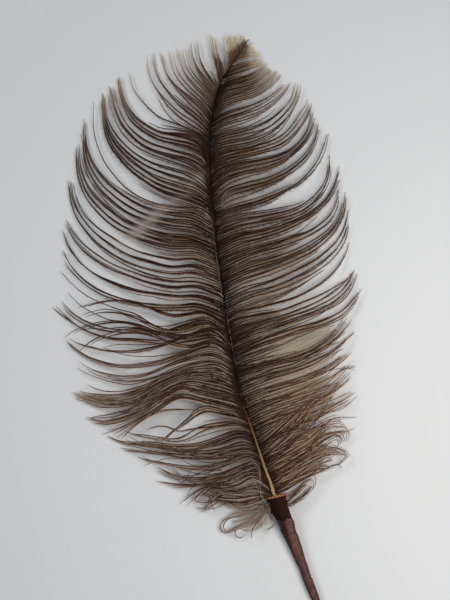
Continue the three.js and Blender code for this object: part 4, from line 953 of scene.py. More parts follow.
# Single strands that show, one by one: style, side, lift, root on the shaft or None, points.
SINGLES = [
    ("strand", "R", 0.2, None, [(240, 358), (252, 354), (264, 350), (278, 344.5)]),
    ("strand", "R", 0.1, None, [(241, 365), (253, 361.5), (265, 358), (279, 353)]),
    ("strand", "R", 0.3, None, [(244, 369), (257, 364.5), (269, 360.5), (282, 356)]),
    ("strand", "R", 0.2, None, [(242, 362), (254, 358.5), (266, 355), (282, 349.5)]),
    ("strand", "R", 0.6, None, [(254, 373), (272, 367), (290, 361), (308, 353), (324, 343), (337, 331)]),
    ("strand", "R", 0.3, None, [(256, 376), (274, 370), (293, 364), (311, 355), (327, 345), (341, 333)]),
    ("strand", "R", 0.7, None, [(258, 377.5), (276, 372.5), (295, 366.5), (312, 358), (329, 348), (343, 337)]),
    ("strand", "R", 0.2, None, [(256, 379), (278, 374.5), (298, 368.5), (315, 361), (331, 351), (346, 341)]),
    ("strand", "R", 0.5, None, [(262, 381), (281, 375.5), (299, 369.8), (317, 362.6), (334, 353), (348, 346)]),
    ("strand", "R", 0.4, None, [(262, 389), (286, 382.5), (305, 376), (322, 368.5), (338, 359)]),
    ("strand", "R", 0.6, None, [(264, 393), (286, 387), (307, 380.5), (325, 373), (341, 364)]),
    ("strand", "R", 0.3, None, [(262, 391.5), (285, 385), (306, 378), (324, 371), (340, 361)]),
    ("strand", "L", 1.2, None, [(236, 472), (216, 475), (196, 477), (178, 473), (160, 466)]),
    ("strand", "L", 1.0, None, [(238, 470), (220, 473), (202, 474.5), (184, 470), (166, 462)]),
    ("strand", "L", 1.4, None, [(230, 477), (210, 480), (192, 479), (176, 474), (158, 470)]),
    ("strand", "L", 0.8, None, [(222, 470), (206, 471), (192, 476), (180, 483), (170, 486)]),
    ("strand", "R", 1.6, 474, [(284, 466), (306, 453), (311, 446), (318, 434), (325, 426), (331, 420), (336, 417.5), (339.6, 418.6), (340.7, 423.5)]),
    ("strand", "R", 2.2, 476, [(287, 466), (308.6, 449.3), (315, 440), (322, 433), (329.3, 428.6), (337, 427.5), (345.7, 426.8), (347.9, 430.7), (350.7, 435.7), (352, 443)]),
    ("strand", "R", 1.9, 479, [(284, 472), (303.6, 458.6), (310.7, 450.7), (318, 444.3), (325, 440), (332, 435.7), (339.3, 432), (345, 431.4), (347.9, 434.3), (347.5, 439.3), (343.6, 442.9)]),
    ("strand", "R", 1.4, 481, [(288, 470), (305.7, 457.9), (315, 451.4), (323.6, 444.3), (330.7, 438.6), (337, 435.7), (343.6, 435), (342.4, 440), (342, 444)]),
    ("strand", "R", 2.0, 484, [(290, 473), (310.7, 458.6), (319.3, 452.9), (325, 447), (331.4, 441.4), (337, 440), (338.6, 442.9), (337.9, 446.4), (334.3, 452), (330, 455.7), (325, 457)]),
    ("strand", "R", 2.3, 491, [(278, 492), (290, 487), (303, 480), (315, 474), (325, 469.3), (331, 466), (339, 464.5), (345, 459), (349, 455.4), (345.4, 450), (343.6, 445)]),
    ("strand", "R", 1.7, 488, [(283, 486), (295, 479), (310, 470), (322, 463), (330, 458.5), (337, 453), (343.6, 453.2)]),
    ("strand", "R", 2.6, 493, [(284, 491), (298, 483), (315, 471.4), (321, 466.8), (328, 466.8), (336.4, 465), (341.4, 461.4), (344.6, 456.4), (344.6, 451.4), (338.6, 447), (330, 446.4), (325, 447)]),
    ("strand", "R", 2.0, None, [(331, 466), (335.5, 464.6), (339.6, 465), (342.5, 468.6), (342, 471.4)]),
    ("strand", "R", 2.4, None, [(318, 462), (325, 458.5), (328, 458), (329.6, 459.6), (329.6, 463.6)]),
    ("strand", "R", 1.2, None, [(286, 505), (291, 503.6), (298.6, 498.6), (306.4, 494.3), (312.9, 488.6), (315.7, 482), (314, 475.7), (309, 474)]),
    ("strand", "R", 0.8, None, [(284, 504), (289, 501), (296.4, 493.6), (303.6, 486.4), (308, 481.4)]),
    ("strand", "R", 0.9, None, [(286, 502), (291, 497), (299, 488.6), (301.4, 484), (306, 480)]),
    ("strand", "R", 2.6, 462, [(280, 453), (296, 440), (303.6, 432.9), (306.4, 427), (313.6, 422), (320.7, 414.3), (326.4, 404.3), (334.3, 394.3)]),
    ("strand", "R", 2.0, 466, [(284, 452), (305, 431.4), (312, 424.3), (318, 418.6), (325, 413.6), (336.4, 410.7), (345, 407), (352, 400.7), (360, 392.9)]),
    ("strand", "R", 2.9, 459, [(268, 454), (279.3, 445), (289.3, 432.9), (298.6, 420.7), (305, 415), (310.7, 406.4), (320.7, 398.6), (332, 393.6)]),
    ("strand", "R", 2.5, 468, [(268, 462), (281.4, 451.4), (292.9, 440), (301.4, 431.4), (304.5, 425), (305.7, 418.6)]),
    ("strand", "R", 2.3, 449, [(262, 444), (275, 434), (286, 423), (297, 412), (306, 404), (318, 396), (330, 388)]),
    ("pale", "R", 4.6, None, [(247, 338), (253, 334.8), (259, 333), (266, 331.5), (274, 328.8)]),
    ("pale", "R", 4.8, None, [(247, 339.6), (254, 336.4), (261, 334.3), (270, 331.4)]),
    ("pale", "R", 5.2, None, [(250, 340), (257, 336.8), (263, 335), (268, 333.6)]),
    ("pale", "R", 6.0, None, [(254, 342), (261, 339.5), (266, 338)]),
    ("pale", "R", 6.0, None, [(260, 338), (267, 336), (272, 334)]),
    ("pale", "R", 7.0, None, [(219, 205), (224, 200), (228, 197.5), (231, 196)]),
    ("pale", "R", 7.0, None, [(220, 208), (226, 203), (231, 200)]),
    ("pale", "R", 7.0, None, [(219, 201), (225, 196), (229, 193.5)]),
    ("pale", "R", 7.0, None, [(223, 210), (229, 206), (234, 203.5)]),
    ("pale", "L", 3.4, None, [(243, 467), (247.9, 465), (252, 463.6), (255, 464), (258.6, 467.9), (260, 473.6), (260, 482), (260.7, 489.3), (262, 496.4), (265, 501.4), (267.9, 505)]),
    ("pale", "L", 3.1, None, [(236, 474), (240, 472), (247.9, 470.7), (253.6, 467.9), (256.4, 468.6), (259, 472), (259.4, 478), (260, 485)]),
    ("pale", "L", 2.8, None, [(248, 473.5), (250, 475.7), (252, 478.6), (255, 483.6), (256.4, 486.4), (258.6, 490.7), (260, 493.6), (262.9, 497.9), (267, 504)]),
    ("pale", "L", 2.9, None, [(240, 487.5), (246.4, 486.4), (249.3, 485), (252.9, 483.6), (256, 482)]),
    ("pale", "L", 3.2, None, [(242, 479), (243.6, 482), (246.4, 485.7), (247.9, 490), (249, 494)]),
    ("pale", "L", 2.6, None, [(244, 493), (248, 490), (252, 487.5), (256, 486), (259, 487)]),
    ("pale", "L", 2.7, None, [(246, 479), (250, 477), (253, 478), (255, 481), (253.5, 485), (250, 487)]),
    ("strand", "L", 0.9, None, [(268.6, 506.4), (262, 504.3), (255, 505), (249.3, 507.9), (240.7, 508.2), (235, 506.4), (230.7, 503.6), (225, 502), (218.6, 500.7), (209, 497), (198, 492)]),
    ("strand", "L", 0.6, None, [(268, 507.9), (260, 508.6), (253.6, 511.4), (246.4, 514.3), (239.3, 515.7), (232, 516.4), (225.7, 518.6), (220.7, 522.9), (219.3, 527.9), (221.4, 532), (225, 533.6), (229.3, 532.9), (233.6, 529.3), (239.3, 525.7), (246.4, 523.6), (253.6, 520.7), (259.3, 517)]),
    ("strand", "L", 1.2, None, [(268, 509), (258, 514), (249, 520), (240, 525), (233, 529), (228, 532), (224, 530), (222.5, 525), (226, 520), (232, 517.5), (240, 517), (248, 515.5), (257, 512)]),
    ("strand", "L", 1.0, None, [(268, 510), (266.4, 511.4), (262, 517.9), (257.9, 522.9), (253.6, 527), (249.3, 530.7), (243.6, 530.7), (239.3, 529.3)]),
    ("strand", "L", 0.8, None, [(262, 517), (256.4, 523.6), (252.9, 528.6), (251.4, 533.6), (251.8, 540)]),
    ("strand", "L", 2.6, None, [(274, 499), (270, 501), (266, 505), (264, 510)]),
    ("strand", "L", 2.0, None, [(274, 501), (269, 504), (266.5, 508), (267, 513)]),
    ("strand", "L", 1.2, None, [(275, 503), (270, 507), (268.5, 511), (270, 516)]),
    ("strand", "L", 2.9, None, [(273, 498), (268, 499), (263, 502), (260, 507)]),
    ("strand", "L", 1.6, None, [(275, 506), (271, 509), (270, 513), (273, 518)]),
    ("strand", "L", 3.1, None, [(272, 494), (267, 495.5), (262, 499), (258, 503)]),
    ("strand", "L", 0.7, None, [(272, 512), (273.9, 515.7), (275, 520.7), (272.9, 525.7), (269.3, 528.6), (264.3, 528.2)]),
    ("strand", "L", 0.8, None, [(242, 525), (238, 526.5), (236.4, 529.3), (235, 532.9), (237, 537), (241.4, 537.5), (245, 535), (246.4, 532)]),
    ("strand", "L", 1.6, None, [(232, 481), (215, 483), (205, 484), (195, 486), (189, 492), (186, 503)]),
    ("strand", "L", 1.5, None, [(234, 483), (218, 485), (208, 485.5), (200, 488), (195, 494), (190, 501)]),
    ("strand", "L", 1.7, None, [(236, 485), (221, 486), (211, 487), (204, 489), (198, 496), (193, 505)]),
    ("strand", "L", 1.4, None, [(238, 487), (224, 488), (214, 488), (208, 490), (204, 497), (201.5, 505)]),
    ("strand", "L", 1.2, None, [(240, 490), (228, 490), (219, 489), (211, 491), (206, 496), (204, 501)]),
    ("strand", "L", 1.6, None, [(236, 488), (222, 488), (213, 490), (208.5, 496), (210, 502), (213, 508), (214, 513)]),
    ("strand", "L", 1.3, None, [(246, 497), (232, 496), (224, 495), (218, 500), (213, 506), (207, 510), (199, 514)]),
    ("strand", "L", 1.1, None, [(252, 504), (235, 503), (226, 503), (219, 506.5), (210, 508.5), (200, 508), (193, 505)])]
# Painted shade: faint beige-grey strands in the tint of the floor in shade, between the strands of the lower left
# corner and in the opening on the right.
SHADE_VEIL = [
    [(246, 365), (257, 360.5), (269, 356), (284, 350)], [(248, 360), (258, 356), (269, 352), (283, 346)],
    [(243, 362), (256, 356), (270, 349), (286, 341)], [(245, 366), (258, 360), (272, 354), (288, 347)], [(266, 448), (276, 440), (290, 430)],
    [(268, 451), (280, 442), (296, 430)],
    [(289, 500), (297, 493), (305, 484), (311, 478)], [(291, 496), (300, 488), (308, 480), (313, 482)], [(291, 504), (300, 498), (308, 490), (312, 486)],
    [(262, 353.5), (286, 343), (310, 331.5), (336, 323)], [(262, 358), (290, 348), (313, 337.5), (338, 328)],
    [(264, 360), (292, 351), (315, 341.5), (339, 332)], [(266, 362), (294, 354.5), (317, 345.5), (340, 336)],
    [(268, 364), (296, 358), (319, 350), (341, 340)], [(288, 372), (310, 367), (326, 360), (342, 349)],
    [(286, 382), (308, 376), (328, 366), (345, 352)], [(300, 392), (318, 386), (334, 376), (346, 364)],
    [(264, 356), (288, 346), (311, 335), (337, 325)], [(266, 359.5), (291, 349), (314, 338), (339, 328.5)],
    [(268, 362), (297, 351.5), (318, 341), (341, 331)], [(270, 364), (297, 356), (320, 345), (341, 335)],
    [(262, 500), (246, 499), (230, 497), (212, 492)],
    [(262, 493), (246, 491), (230, 491), (210, 487)], [(264, 503), (248, 503.5), (234, 501), (216, 498)],
    [(266, 506), (254, 510), (240, 512), (226, 513)], [(267, 508), (256, 515), (244, 519), (232, 521)],
    [(269, 511), (266, 519), (260, 525), (253, 531)], [(268, 509), (260, 517), (251, 523), (242, 527)],
    [(258, 484), (244, 484), (228, 486), (208, 485)], [(254, 475), (240, 477), (224, 480), (206, 482)],
    [(250, 466), (236, 470), (220, 475), (202, 477)],
    [(265, 504), (250, 507.5), (236, 507), (220, 503)]]


def ragged(c, seed):
    """Lets a barb wander a little off its neighbours and end where it likes."""
    n = len(c)
    w = np.linspace(0, 1, n)
    t = np.gradient(c, axis=0)
    t /= np.linalg.norm(t, axis=1)[:, None] + 1e-9
    nrm = np.stack([-t[:, 1], t[:, 0]], 1)
    s = arc(c)
    off = 0.45 * smooth_noise(s, 19, seed + 1) * np.minimum(1, s / 10) + 0.9 * smooth_noise(s, 47, seed + 2) * w**1.3
    c = c + nrm * off[:, None]
    keep = 1 - 0.09 * rng.random() ** 1.5
    return resample(c[: max(6, int(n * keep))], n)


# ---- materials ---------------------------------------------------------------


def material(name, rough=0.5, **fixed):
    m = bpy.data.materials.new(name)
    m.use_nodes = True
    shader = m.node_tree.nodes["Principled BSDF"]
    shader.inputs["Roughness"].default_value = rough
    for key, value in fixed.items():
        shader.inputs[key.replace("_", " ")].default_value = value
    return m, m.node_tree, shader


def node(tree, kind, **values):
    n = tree.nodes.new(kind)
    for key, value in values.items():
        if key in n.inputs:
            n.inputs[key].default_value = value
        else:
            setattr(n, key, value)
    return n


def tinted(name, rough, scale, contrast, bump=0.0, bump_scale=None, **fixed):
    """Colour from the piece's own tint, broken up by fine noise, with roughness to match."""
    m, tree, shader = material(name, rough, **fixed)
    link = tree.links.new
    tint = node(tree, "ShaderNodeAttribute", attribute_name="tint")
    where = node(tree, "ShaderNodeTexCoord")
    noise = node(tree, "ShaderNodeTexNoise", Scale=scale, Detail=4.0, Roughness=0.6)
    link(where.outputs["Object"], noise.inputs["Vector"])
    ramp = node(tree, "ShaderNodeMapRange")
    ramp.inputs["From Min"].default_value, ramp.inputs["From Max"].default_value = 0.3, 0.7
    ramp.inputs["To Min"].default_value, ramp.inputs["To Max"].default_value = 1 - contrast, 1 + contrast
    link(noise.outputs["Fac"], ramp.inputs["Value"])
    scale_colour = node(tree, "ShaderNodeVectorMath", operation="SCALE")
    link(tint.outputs["Color"], scale_colour.inputs[0])
    link(ramp.outputs["Result"], scale_colour.inputs["Scale"])
    link(scale_colour.outputs["Vector"], shader.inputs["Base Color"])
    glossy = node(tree, "ShaderNodeMapRange")
    glossy.inputs["To Min"].default_value, glossy.inputs["To Max"].default_value = rough - 0.12, rough + 0.12
    link(noise.outputs["Fac"], glossy.inputs["Value"])
    link(glossy.outputs["Result"], shader.inputs["Roughness"])
    if bump:
        fine = node(tree, "ShaderNodeTexNoise", Scale=bump_scale or scale * 4, Detail=3.0)
        link(where.outputs["Object"], fine.inputs["Vector"])
        b = node(tree, "ShaderNodeBump", Strength=bump, Distance=0.0004)
        link(fine.outputs["Fac"], b.inputs["Height"])
        link(b.outputs["Normal"], shader.inputs["Normal"])
    return m


feather = tinted("barbs", 0.6, 900.0, 0.16, Specular_IOR_Level=0.12)

# ---- the plume -----------------------------------------------------------------

BARBS = lock_barbs()
PIECES = 4  # to a side
for side, sign in (("L", -1), ("R", 1)):
    mine = sorted((b for b in BARBS if b[0] == side), key=lambda b: b[1][0, 1])
    lengths = np.cumsum([arc(b[1])[-1] for b in mine])
    for part in range(PIECES):
        lo, hi = lengths[-1] * part / PIECES, lengths[-1] * (part + 1) / PIECES
        chosen = [b for b, total in zip(mine, lengths) if lo < total <= hi + 1e-6]
        soup = Soup()
        for row, (_, c, lift, style, _) in enumerate(chosen):
            seed = float(np.round(rng.random() * 900, 3))
            barb(soup, ragged(c, seed), sign, lift, row, len(chosen), style, seed)
        ob = soup.build(f"vane_{'left' if side == 'L' else 'right'}_{part + 1}", feather)
        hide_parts("plume")
        print(ob.name, len(chosen), "barbs", soup.triangles(), "triangles")

# ---- shaft -----------------------------------------------------------------------


def sweep(path, across, height, profile, colour, name, mat, tangent=None):
    """A skin along path. profile(i, angle) scales the section; colour(i, angle) gives its tint."""
    n = len(path)
    m = profile.shape[1]
    t = np.gradient(path, axis=0) if tangent is None else tangent
    t = t / np.linalg.norm(t, axis=1)[:, None]
    side = np.cross(t, [0, 0, 1.0])
    side /= np.linalg.norm(side, axis=1)[:, None]
    up = np.cross(side, t)
    a = np.arange(m) / m * 2 * np.pi
    ring = (path[:, None] + (across[:, None] * profile * np.cos(a))[..., None] * side[:, None]
            + (height[:, None] * profile * np.sin(a))[..., None] * up[:, None])
    v = np.vstack([ring.reshape(-1, 3), path[:1], path[-1:]])
    i, k = np.meshgrid(np.arange(n - 1), np.arange(m), indexing="ij")
    i, k = i.ravel(), k.ravel()
    k2 = (k + 1) % m
    quads = np.stack([i * m + k, i * m + k2, (i + 1) * m + k2, (i + 1) * m + k], 1)
    f = np.concatenate([quads[:, [0, 1, 2]], quads[:, [0, 2, 3]]])
    uvq = np.stack([np.stack([k / m, i / n], 1), np.stack([(k + 1) / m, i / n], 1),
                    np.stack([(k + 1) / m, (i + 1) / n], 1), np.stack([k / m, (i + 1) / n], 1)], 1) * 0.96 + 0.02
    uv = np.concatenate([uvq[:, [0, 1, 2]], uvq[:, [0, 2, 3]]]).reshape(-1, 2)
    j = np.arange(m)
    ends = np.concatenate([np.stack([np.full(m, n * m), (j + 1) % m, j], 1),
                           np.stack([np.full(m, n * m + 1), (n - 1) * m + j, (n - 1) * m + (j + 1) % m], 1)])
    end_uv = np.concatenate([
        np.stack([np.stack([(j + 0.5) / m, np.full(m, 0.0)], 1), np.stack([(j + 1) / m, np.full(m, 0.018)], 1), np.stack([j / m, np.full(m, 0.018)], 1)], 1),
        np.stack([np.stack([(j + 0.5) / m, np.full(m, 1.0)], 1), np.stack([j / m, np.full(m, 0.982)], 1), np.stack([(j + 1) / m, np.full(m, 0.982)], 1)], 1)]).reshape(-1, 2)
    soup = Soup()
    soup.add(v, np.concatenate([f, ends]), np.vstack([colour.reshape(-1, 3), colour[0].mean(0)[None], colour[-1].mean(0)[None]]), np.concatenate([uv, end_uv]), True)
    return soup.build(name, mat)


quill = tinted("quill", 0.5, 260.0, 0.10, bump=0.2, bump_scale=2600.0, Specular_IOR_Level=0.22)
path = spline(SHAFT, 260)
radius, path = path[:, 3].copy(), path[:, :3].copy()
# Where both vanes crowd it, the shaft lies at the bottom of their groove.
sunk = np.interp(-path[:, 1], [66, 78, 112], [1.0, 0.75, 0.0]) * np.clip((232 - path[:, 1]) / 40, 0, 1)
path[:, 2] += 0.6 * np.clip((-path[:, 1] - 100) / 10, 0, 1) * np.clip((path[:, 1] + 166) / 6, 0, 1) - 1.1 * sunk
radius *= (1 - 0.2 * sunk) * np.interp(-path[:, 1], [95, 108, 119, 131, 143, 155, 161, 170], [1, 0.55, 0.44, 0.54, 0.62, 0.72, 0.84, 0.9])
M = 20
ang = np.arange(M) / M * 2 * np.pi
y = path[:, 1]
groove = np.clip((y + 150) / 30, 0, 1)  # none on the bare quill by the band
depth = 0.30 * groove[:, None] * np.exp(-((ang - np.pi / 2) / 0.42) ** 2)
shape = 1 - depth
# Flattened quill by the band, horn coloured; darker and thinner towards the tip, its dark brown partly its own colour
# and partly painted shade of the groove the vanes make over it.
amber = mix(srgb(124, 68, 24), srgb(164, 138, 90), np.clip((-y - 112) / 46, 0, 1))
shaded_brown = srgb(48, 35, 29)
base = mix(shaded_brown, srgb(88, 46, 30), np.clip((-y - 70) / 12, 0, 1))
base = mix(base, amber, np.clip((-y - 96) / 16, 0, 1))
tip_tan = np.clip((y - 190) / 50, 0, 1)
base = mix(base, srgb(120, 98, 78), tip_tan * 0.6)
# Painted highlight: a pale stripe down one flank of the shaft around its middle.
lit = np.exp(-((y - 42) / 42) ** 2) * 0.75
colour = np.repeat(base[:, None], M, 1)
highlight_edge = np.exp(-((ang - 2.25) / 0.35) ** 2)
colour = mix(colour, srgb(168, 156, 142), lit[:, None] * highlight_edge)
streak = 0.10 * np.sin(ang * 5 + 1.3)[None, :] * np.cos(y / 9)[:, None]
# Painted shade: the colour darkens down the groove along the top of the shaft.
colour = np.clip(colour * (1 + streak[..., None]) * (1 - 0.5 * depth[..., None] / 0.3), 0, 1)
shaft = sweep(path, radius, radius * 0.92, shape, colour, "shaft", quill)
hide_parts("plume")

# Painted highlight: pale lines along the left side of the groove, and a pale fleck near the end of the first.
highlight_edge = np.array([(210.6, 207), (212.2, 222), (214.2, 240), (216.6, 258), (219.3, 276), (221.4, 292), (223.2, 304)])
highlight_edge = spline(highlight_edge, 80)
line = on_vane(highlight_edge)
line[:, 2] += 1.0 + 0.25 * smooth_noise(arc(line), 6, 5)
soup = Soup()
thick = 0.2 * np.sin(np.linspace(0.08, np.pi - 0.04, 80)) ** 0.6 * (1 + 0.4 * smooth_noise(arc(line), 3.1, 9))
fade = np.linspace(0, 1, 80)
tube(soup, line, thick, mix(srgb(112, 97, 84), srgb(150, 134, 118), fade), 0, 3, 5)
highlight_edge = spline(np.array([(225.6, 308), (227.4, 319), (229.5, 331), (231.6, 343), (233.6, 355), (236.2, 369)]), 70)
line = on_vane(highlight_edge)
line[:, 2] += 0.9 + 0.3 * smooth_noise(arc(line), 5, 15)
thick = 0.15 * np.sin(np.linspace(0.06, np.pi - 0.06, 70)) ** 0.6 * np.clip(0.75 + 0.7 * smooth_noise(arc(line), 2.6, 19), 0.12, 1.4)
tube(soup, line, thick, mix(srgb(150, 140, 132), srgb(112, 102, 96), np.linspace(0, 1, 70)), 2, 3, 5)
fleck = on_vane(spline(np.array([(217.5, 292.5), (220, 294.0), (223.5, 297.5)]), 24))
fleck[:, 2] += 1.7
tube(soup, fleck, 0.24 * np.sin(np.linspace(0.1, np.pi - 0.05, 24)) ** 0.7, np.repeat(srgb(206, 194, 178)[None], 24, 0), 1, 3, 5)
groove_highlight = soup.build("groove_highlight", quill)
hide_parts("plume")

# ---- band --------------------------------------------------------------------------

band_mat = tinted("band_weave", 0.8, 900.0, 0.28, bump=0.6, bump_scale=3000.0, Specular_IOR_Level=0.10)
C = spline(COLLAR, 90)
axis, wide, tall = C[:, :3], C[:, 3], C[:, 4]
direction = axis[0] - axis[4]
direction /= np.linalg.norm(direction)
# From the bore over the rolled rim, down the outside, and in under the ribbon.
inside = [(-6.5, 0.30), (-4.0, 0.40), (-1.6, 0.55), (-0.5, 0.68), (0.05, 0.80), (0.42, 0.90), (0.55, 0.98), (0.42, 1.045), (0.0, 1.06), (-0.45, 1.03), (-0.75, 0.985)]
rows_p, rows_w, rows_h, rim_highlight, rows_t = [], [], [], [], []
for along, scale in inside:
    rows_p.append(axis[0] + direction * along)
    rows_w.append(wide[0] * scale)
    rows_h.append(tall[0] * min(scale, 1.0))
    rim_highlight.append(1.0 if scale > 0.95 else 0.0)
    rows_t.append(-direction)
for i in range(5, 90):
    rows_p.append(axis[i])
    rows_w.append(wide[i])
    rows_h.append(tall[i])
    rim_highlight.append(0.0)
    bent = axis[min(i + 1, 89)] - axis[i - 1]
    bent /= np.linalg.norm(bent)
    level = np.clip((i - 45) / 40, 0, 1)
    rows_t.append(bent * (1 - level) + np.array([-0.04, -1.0, bent[2]]) * level)
rows_p, rows_w, rows_h, rim_highlight, rows_t = map(np.array, (rows_p, rows_w, rows_h, rim_highlight, rows_t))
M = 96
ang = np.arange(M) / M * 2 * np.pi
s = np.r_[0, np.cumsum(np.linalg.norm(np.diff(rows_p, axis=0), axis=1))]
down = np.clip((np.arange(len(rows_p)) - len(inside)) / 30, 0, 1)
folds = (0.020 * np.sin(ang * 5 + 0.8) + 0.012 * np.sin(ang * 11 + 2.1))[None, :] * down[:, None]
folds = folds + 0.003 * np.sin(ang[None, :] * 23 + s[:, None] * 1.4) * down[:, None]
ripple = 0.007 * np.sin(s[:, None] * 1.9 + 2.5 * np.sin(ang[None, :] * 2)) * down[:, None]
under = np.sin(ang) < -0.6
shape = 1 + np.where(under[None, :], 0.0, folds + ripple) - 0.012
# Painted shade: the band's cloth is near black on its left side and redder towards the right.
shaded_cloth = mix(srgb(22, 11, 6), srgb(56, 25, 16), np.clip(0.15 - 0.8 * np.cos(ang + 0.2), 0, 1))[None].repeat(len(rows_p), 0)
# The rolled rim: reddish satin with a painted highlight along the cut edge.
copper_highlight = srgb(186, 112, 84)
colour = mix(shaded_cloth, copper_highlight * (0.8 + 0.2 * np.sin(ang * 17) + 0.15 * np.sin(ang * 41))[None, :, None], (rim_highlight[:, None] * np.ones(M)) * 0.92)
colour[:3] = srgb(34, 22, 18)
band = sweep(rows_p, rows_w, rows_h, shape, np.clip(colour, 0, 1), "band", band_mat, rows_t)
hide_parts("collar_band")

# ---- ribbon ------------------------------------------------------------------------

satin = tinted("satin", 0.42, 950.0, 0.26, bump=0.55, bump_scale=2600.0, Specular_IOR_Level=0.30)
W = spline(WRAP, 360)
path, wide, tall = W[:, :3].copy(), W[:, 3].copy(), W[:, 4].copy()
wide *= np.interp(-path[:, 1], [184, 187, 191, 197, 205, 211, 216, 221, 226, 236, 240, 250], [1.08, 1.1, 1.12, 1.12, 1.12, 1.12, 1.09, 1.05, 0.96, 0.97, 1.0, 1.0])
path[:, 0] -= 0.55 * np.exp(-(((path[:, 1] + 214) / 8) ** 2)) + 0.35 * np.exp(-(((path[:, 1] + 190) / 8) ** 2))
ahead = path[-1] - path[-2]
ahead /= np.linalg.norm(ahead)
extra = [(0.5, 0.95), (1.0, 0.86), (1.4, 0.72), (1.7, 0.52), (1.85, 0.28)]
path = np.vstack([path] + [path[-1] + ahead * e for e, _ in extra])
wide = np.r_[wide, [wide[-1] * k for _, k in extra]]
tall = np.r_[tall, [tall[-1] * k for _, k in extra]]
M = 64
ang = np.arange(M) / M * 2 * np.pi
s = arc(path)
# A short first turn under the band, then long ones: turns made up to each point along.
made = np.where(s < 12.9, (s - 9.45) / 20.2, 0.171 + (s - 12.9) / 39.4)[:, None]
level = np.interp(s, [14, 30], [0.10, 0.17])[:, None]
wound = made - (ang / (2 * np.pi) - 0.10)[None, :] - level * np.cos(ang)[None, :]
phase, turn = wound % 1.0, np.floor(wound)
# A thin step where one turn covers the last, and a slight crown over each turn.
ridge = np.clip((phase - 0.955) / 0.03, 0, 1) - 0.0
step = 0.40 * (1 - phase) * (1 - ridge) + 0.40 * ridge
crease = 0.10 * np.sin((phase * 3 + turn * 0.37) * 2 * np.pi) * np.exp(-((phase - 0.5) / 0.3) ** 2)
wrinkle = 0.05 * np.sin(ang[None, :] * 3 + s[:, None] * 0.9 + turn * 1.7)
off = step + crease * 0.5 + wrinkle
off = np.where(np.sin(ang)[None, :] < -0.85, off * 0.3, off)
fade = np.clip((s[-1] - s) / 4, 0, 1)[:, None] * np.clip(s / 2, 0, 1)[:, None]
shape = 1 + off * fade / wide[:, None] - 0.05
red = srgb(92, 50, 40)
deep = srgb(62, 33, 26)
first = np.exp(-((s - 9) / 9) ** 2)[:, None]
tone = 0.5 + 0.25 * np.sin(turn * 2.3 + 0.6) + 0.15 * np.sin(s[:, None] * 0.5)
# The first turn is painted a little lighter, with a painted highlight just right of its centre.
colour = mix(deep, red, np.clip(tone + 0.1 * first, 0, 1))
colour = mix(colour, srgb(118, 70, 54), 0.5 * first * np.clip(np.cos(ang - 1.75), 0, 1)[None, :] ** 3)
# Painted shade: the ribbon's left side goes near black, widest on the first turn, and a narrower strip darkens its
# right edge.
shaded_side = np.clip((np.cos(ang)[None, :] - np.interp(s, [0, 14, 18, 30, 60], [-0.12, 0.0, 0.34, 0.5, 0.45])[:, None]) / 0.36, 0, 1)
shaded_side = np.maximum(shaded_side, 0.55 * np.clip((-np.cos(ang)[None, :] - 0.72) / 0.2, 0, 1))
# Lighter mottling over the satin.
pale_mottle = np.clip(smooth_noise(s[:, None] + 3.1 * ang[None, :], 2.1, 4) * smooth_noise(s[:, None] * 0.6 - 4.0 * ang[None, :], 1.7, 8), 0, 1)
colour = mix(colour, srgb(132, 92, 74), 0.45 * pale_mottle)
grain = smooth_noise(s[:, None] * 1.0 + 9.0 * np.sin(ang)[None, :], 0.9, 14) * smooth_noise(s[:, None] * 0.7 - 8.0 * np.cos(ang)[None, :], 0.8, 18)
colour = colour * (1 + 1.0 * grain)[..., None]
colour = mix(colour, deep[None, None] * np.ones_like(colour), 0.6 * shaded_side) * (1 - 0.74 * shaded_side)[..., None]
thin = np.where(s < 20, 1.0, 0.55)[:, None]  # the long turns' edges are as wide as the short one's
# Painted highlight along the edge of each turn, just past where it laps over the last.
colour = mix(colour, srgb(128, 84, 62), 0.32 * np.exp(-(((phase - 0.07 * thin) / (0.03 * thin)) ** 2)) * np.clip(0.7 - np.cos(ang), 0, 1)[None, :])
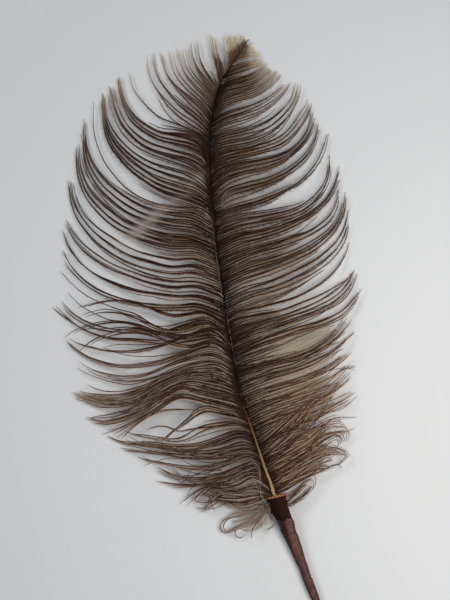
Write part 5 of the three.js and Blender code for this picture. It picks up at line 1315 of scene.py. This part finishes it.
# Painted shade: dark lines in the seams where one turn laps over the last.
colour = mix(colour, srgb(26, 13, 10), (np.exp(-(phase / (0.035 * thin)) ** 2) * 0.8 + np.exp(-((phase - 1) / (0.03 * thin)) ** 2) * 0.5) * np.where(s < 20, 1.0, 0.6)[:, None])
ahead = np.gradient(path, axis=0)
ahead /= np.linalg.norm(ahead, axis=1)[:, None]
level = np.clip(1 - s / 16, 0, 1)[:, None]
ahead = ahead * (1 - level) + np.array([-0.04, -1.0, 0.0]) * level  # the first turn starts square across
ribbon = sweep(path, wide, tall, shape, np.clip(colour, 0, 1), "ribbon", satin, ahead)
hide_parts("ribbon_wrap")

# ---- floor and light -----------------------------------------------------------------

floor_mesh = bpy.data.meshes.new("floor")
floor_mesh.from_pydata([(-4, -4, 0), (4, -4, 0), (4, 4, 0), (-4, 4, 0)], [], [(0, 1, 2, 3)])
floor = bpy.data.objects.new("floor", floor_mesh)
bpy.context.collection.objects.link(floor)
floor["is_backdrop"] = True
m, tree, shader = material("paper", 0.85, Specular_IOR_Level=0.2)
shader.inputs["Base Color"].default_value = (0.70, 0.70, 0.70, 1)
floor_mesh.materials.append(m)

world = bpy.data.worlds.new("soft")
bpy.context.scene.world = world
world.use_nodes = True
world.node_tree.nodes["Background"].inputs["Color"].default_value = (0.79, 0.89, 1.0, 1)
world.node_tree.nodes["Background"].inputs["Strength"].default_value = 0.32


def softbox(name, place, aim, size, watts, colour):
    light = bpy.data.lights.new(name, "AREA")
    light.shape, light.size, light.energy, light.color = "DISK", size, watts, colour
    ob = bpy.data.objects.new(name, light)
    ob.location = place
    ob.rotation_euler = (Vector(aim) - Vector(place)).to_track_quat("-Z", "Y").to_euler()
    bpy.context.collection.objects.link(ob)


softbox("key", (-1.6, 1.0, 1.45), (0.0, -0.05, 0.0), 0.85, 22.2, (0.97, 0.985, 1.0))
softbox("fill", (0.35, -0.10, 0.6), (0.35, -0.10, 0.0), 0.45, 3.0, (1.0, 0.95, 0.885))

lo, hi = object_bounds()
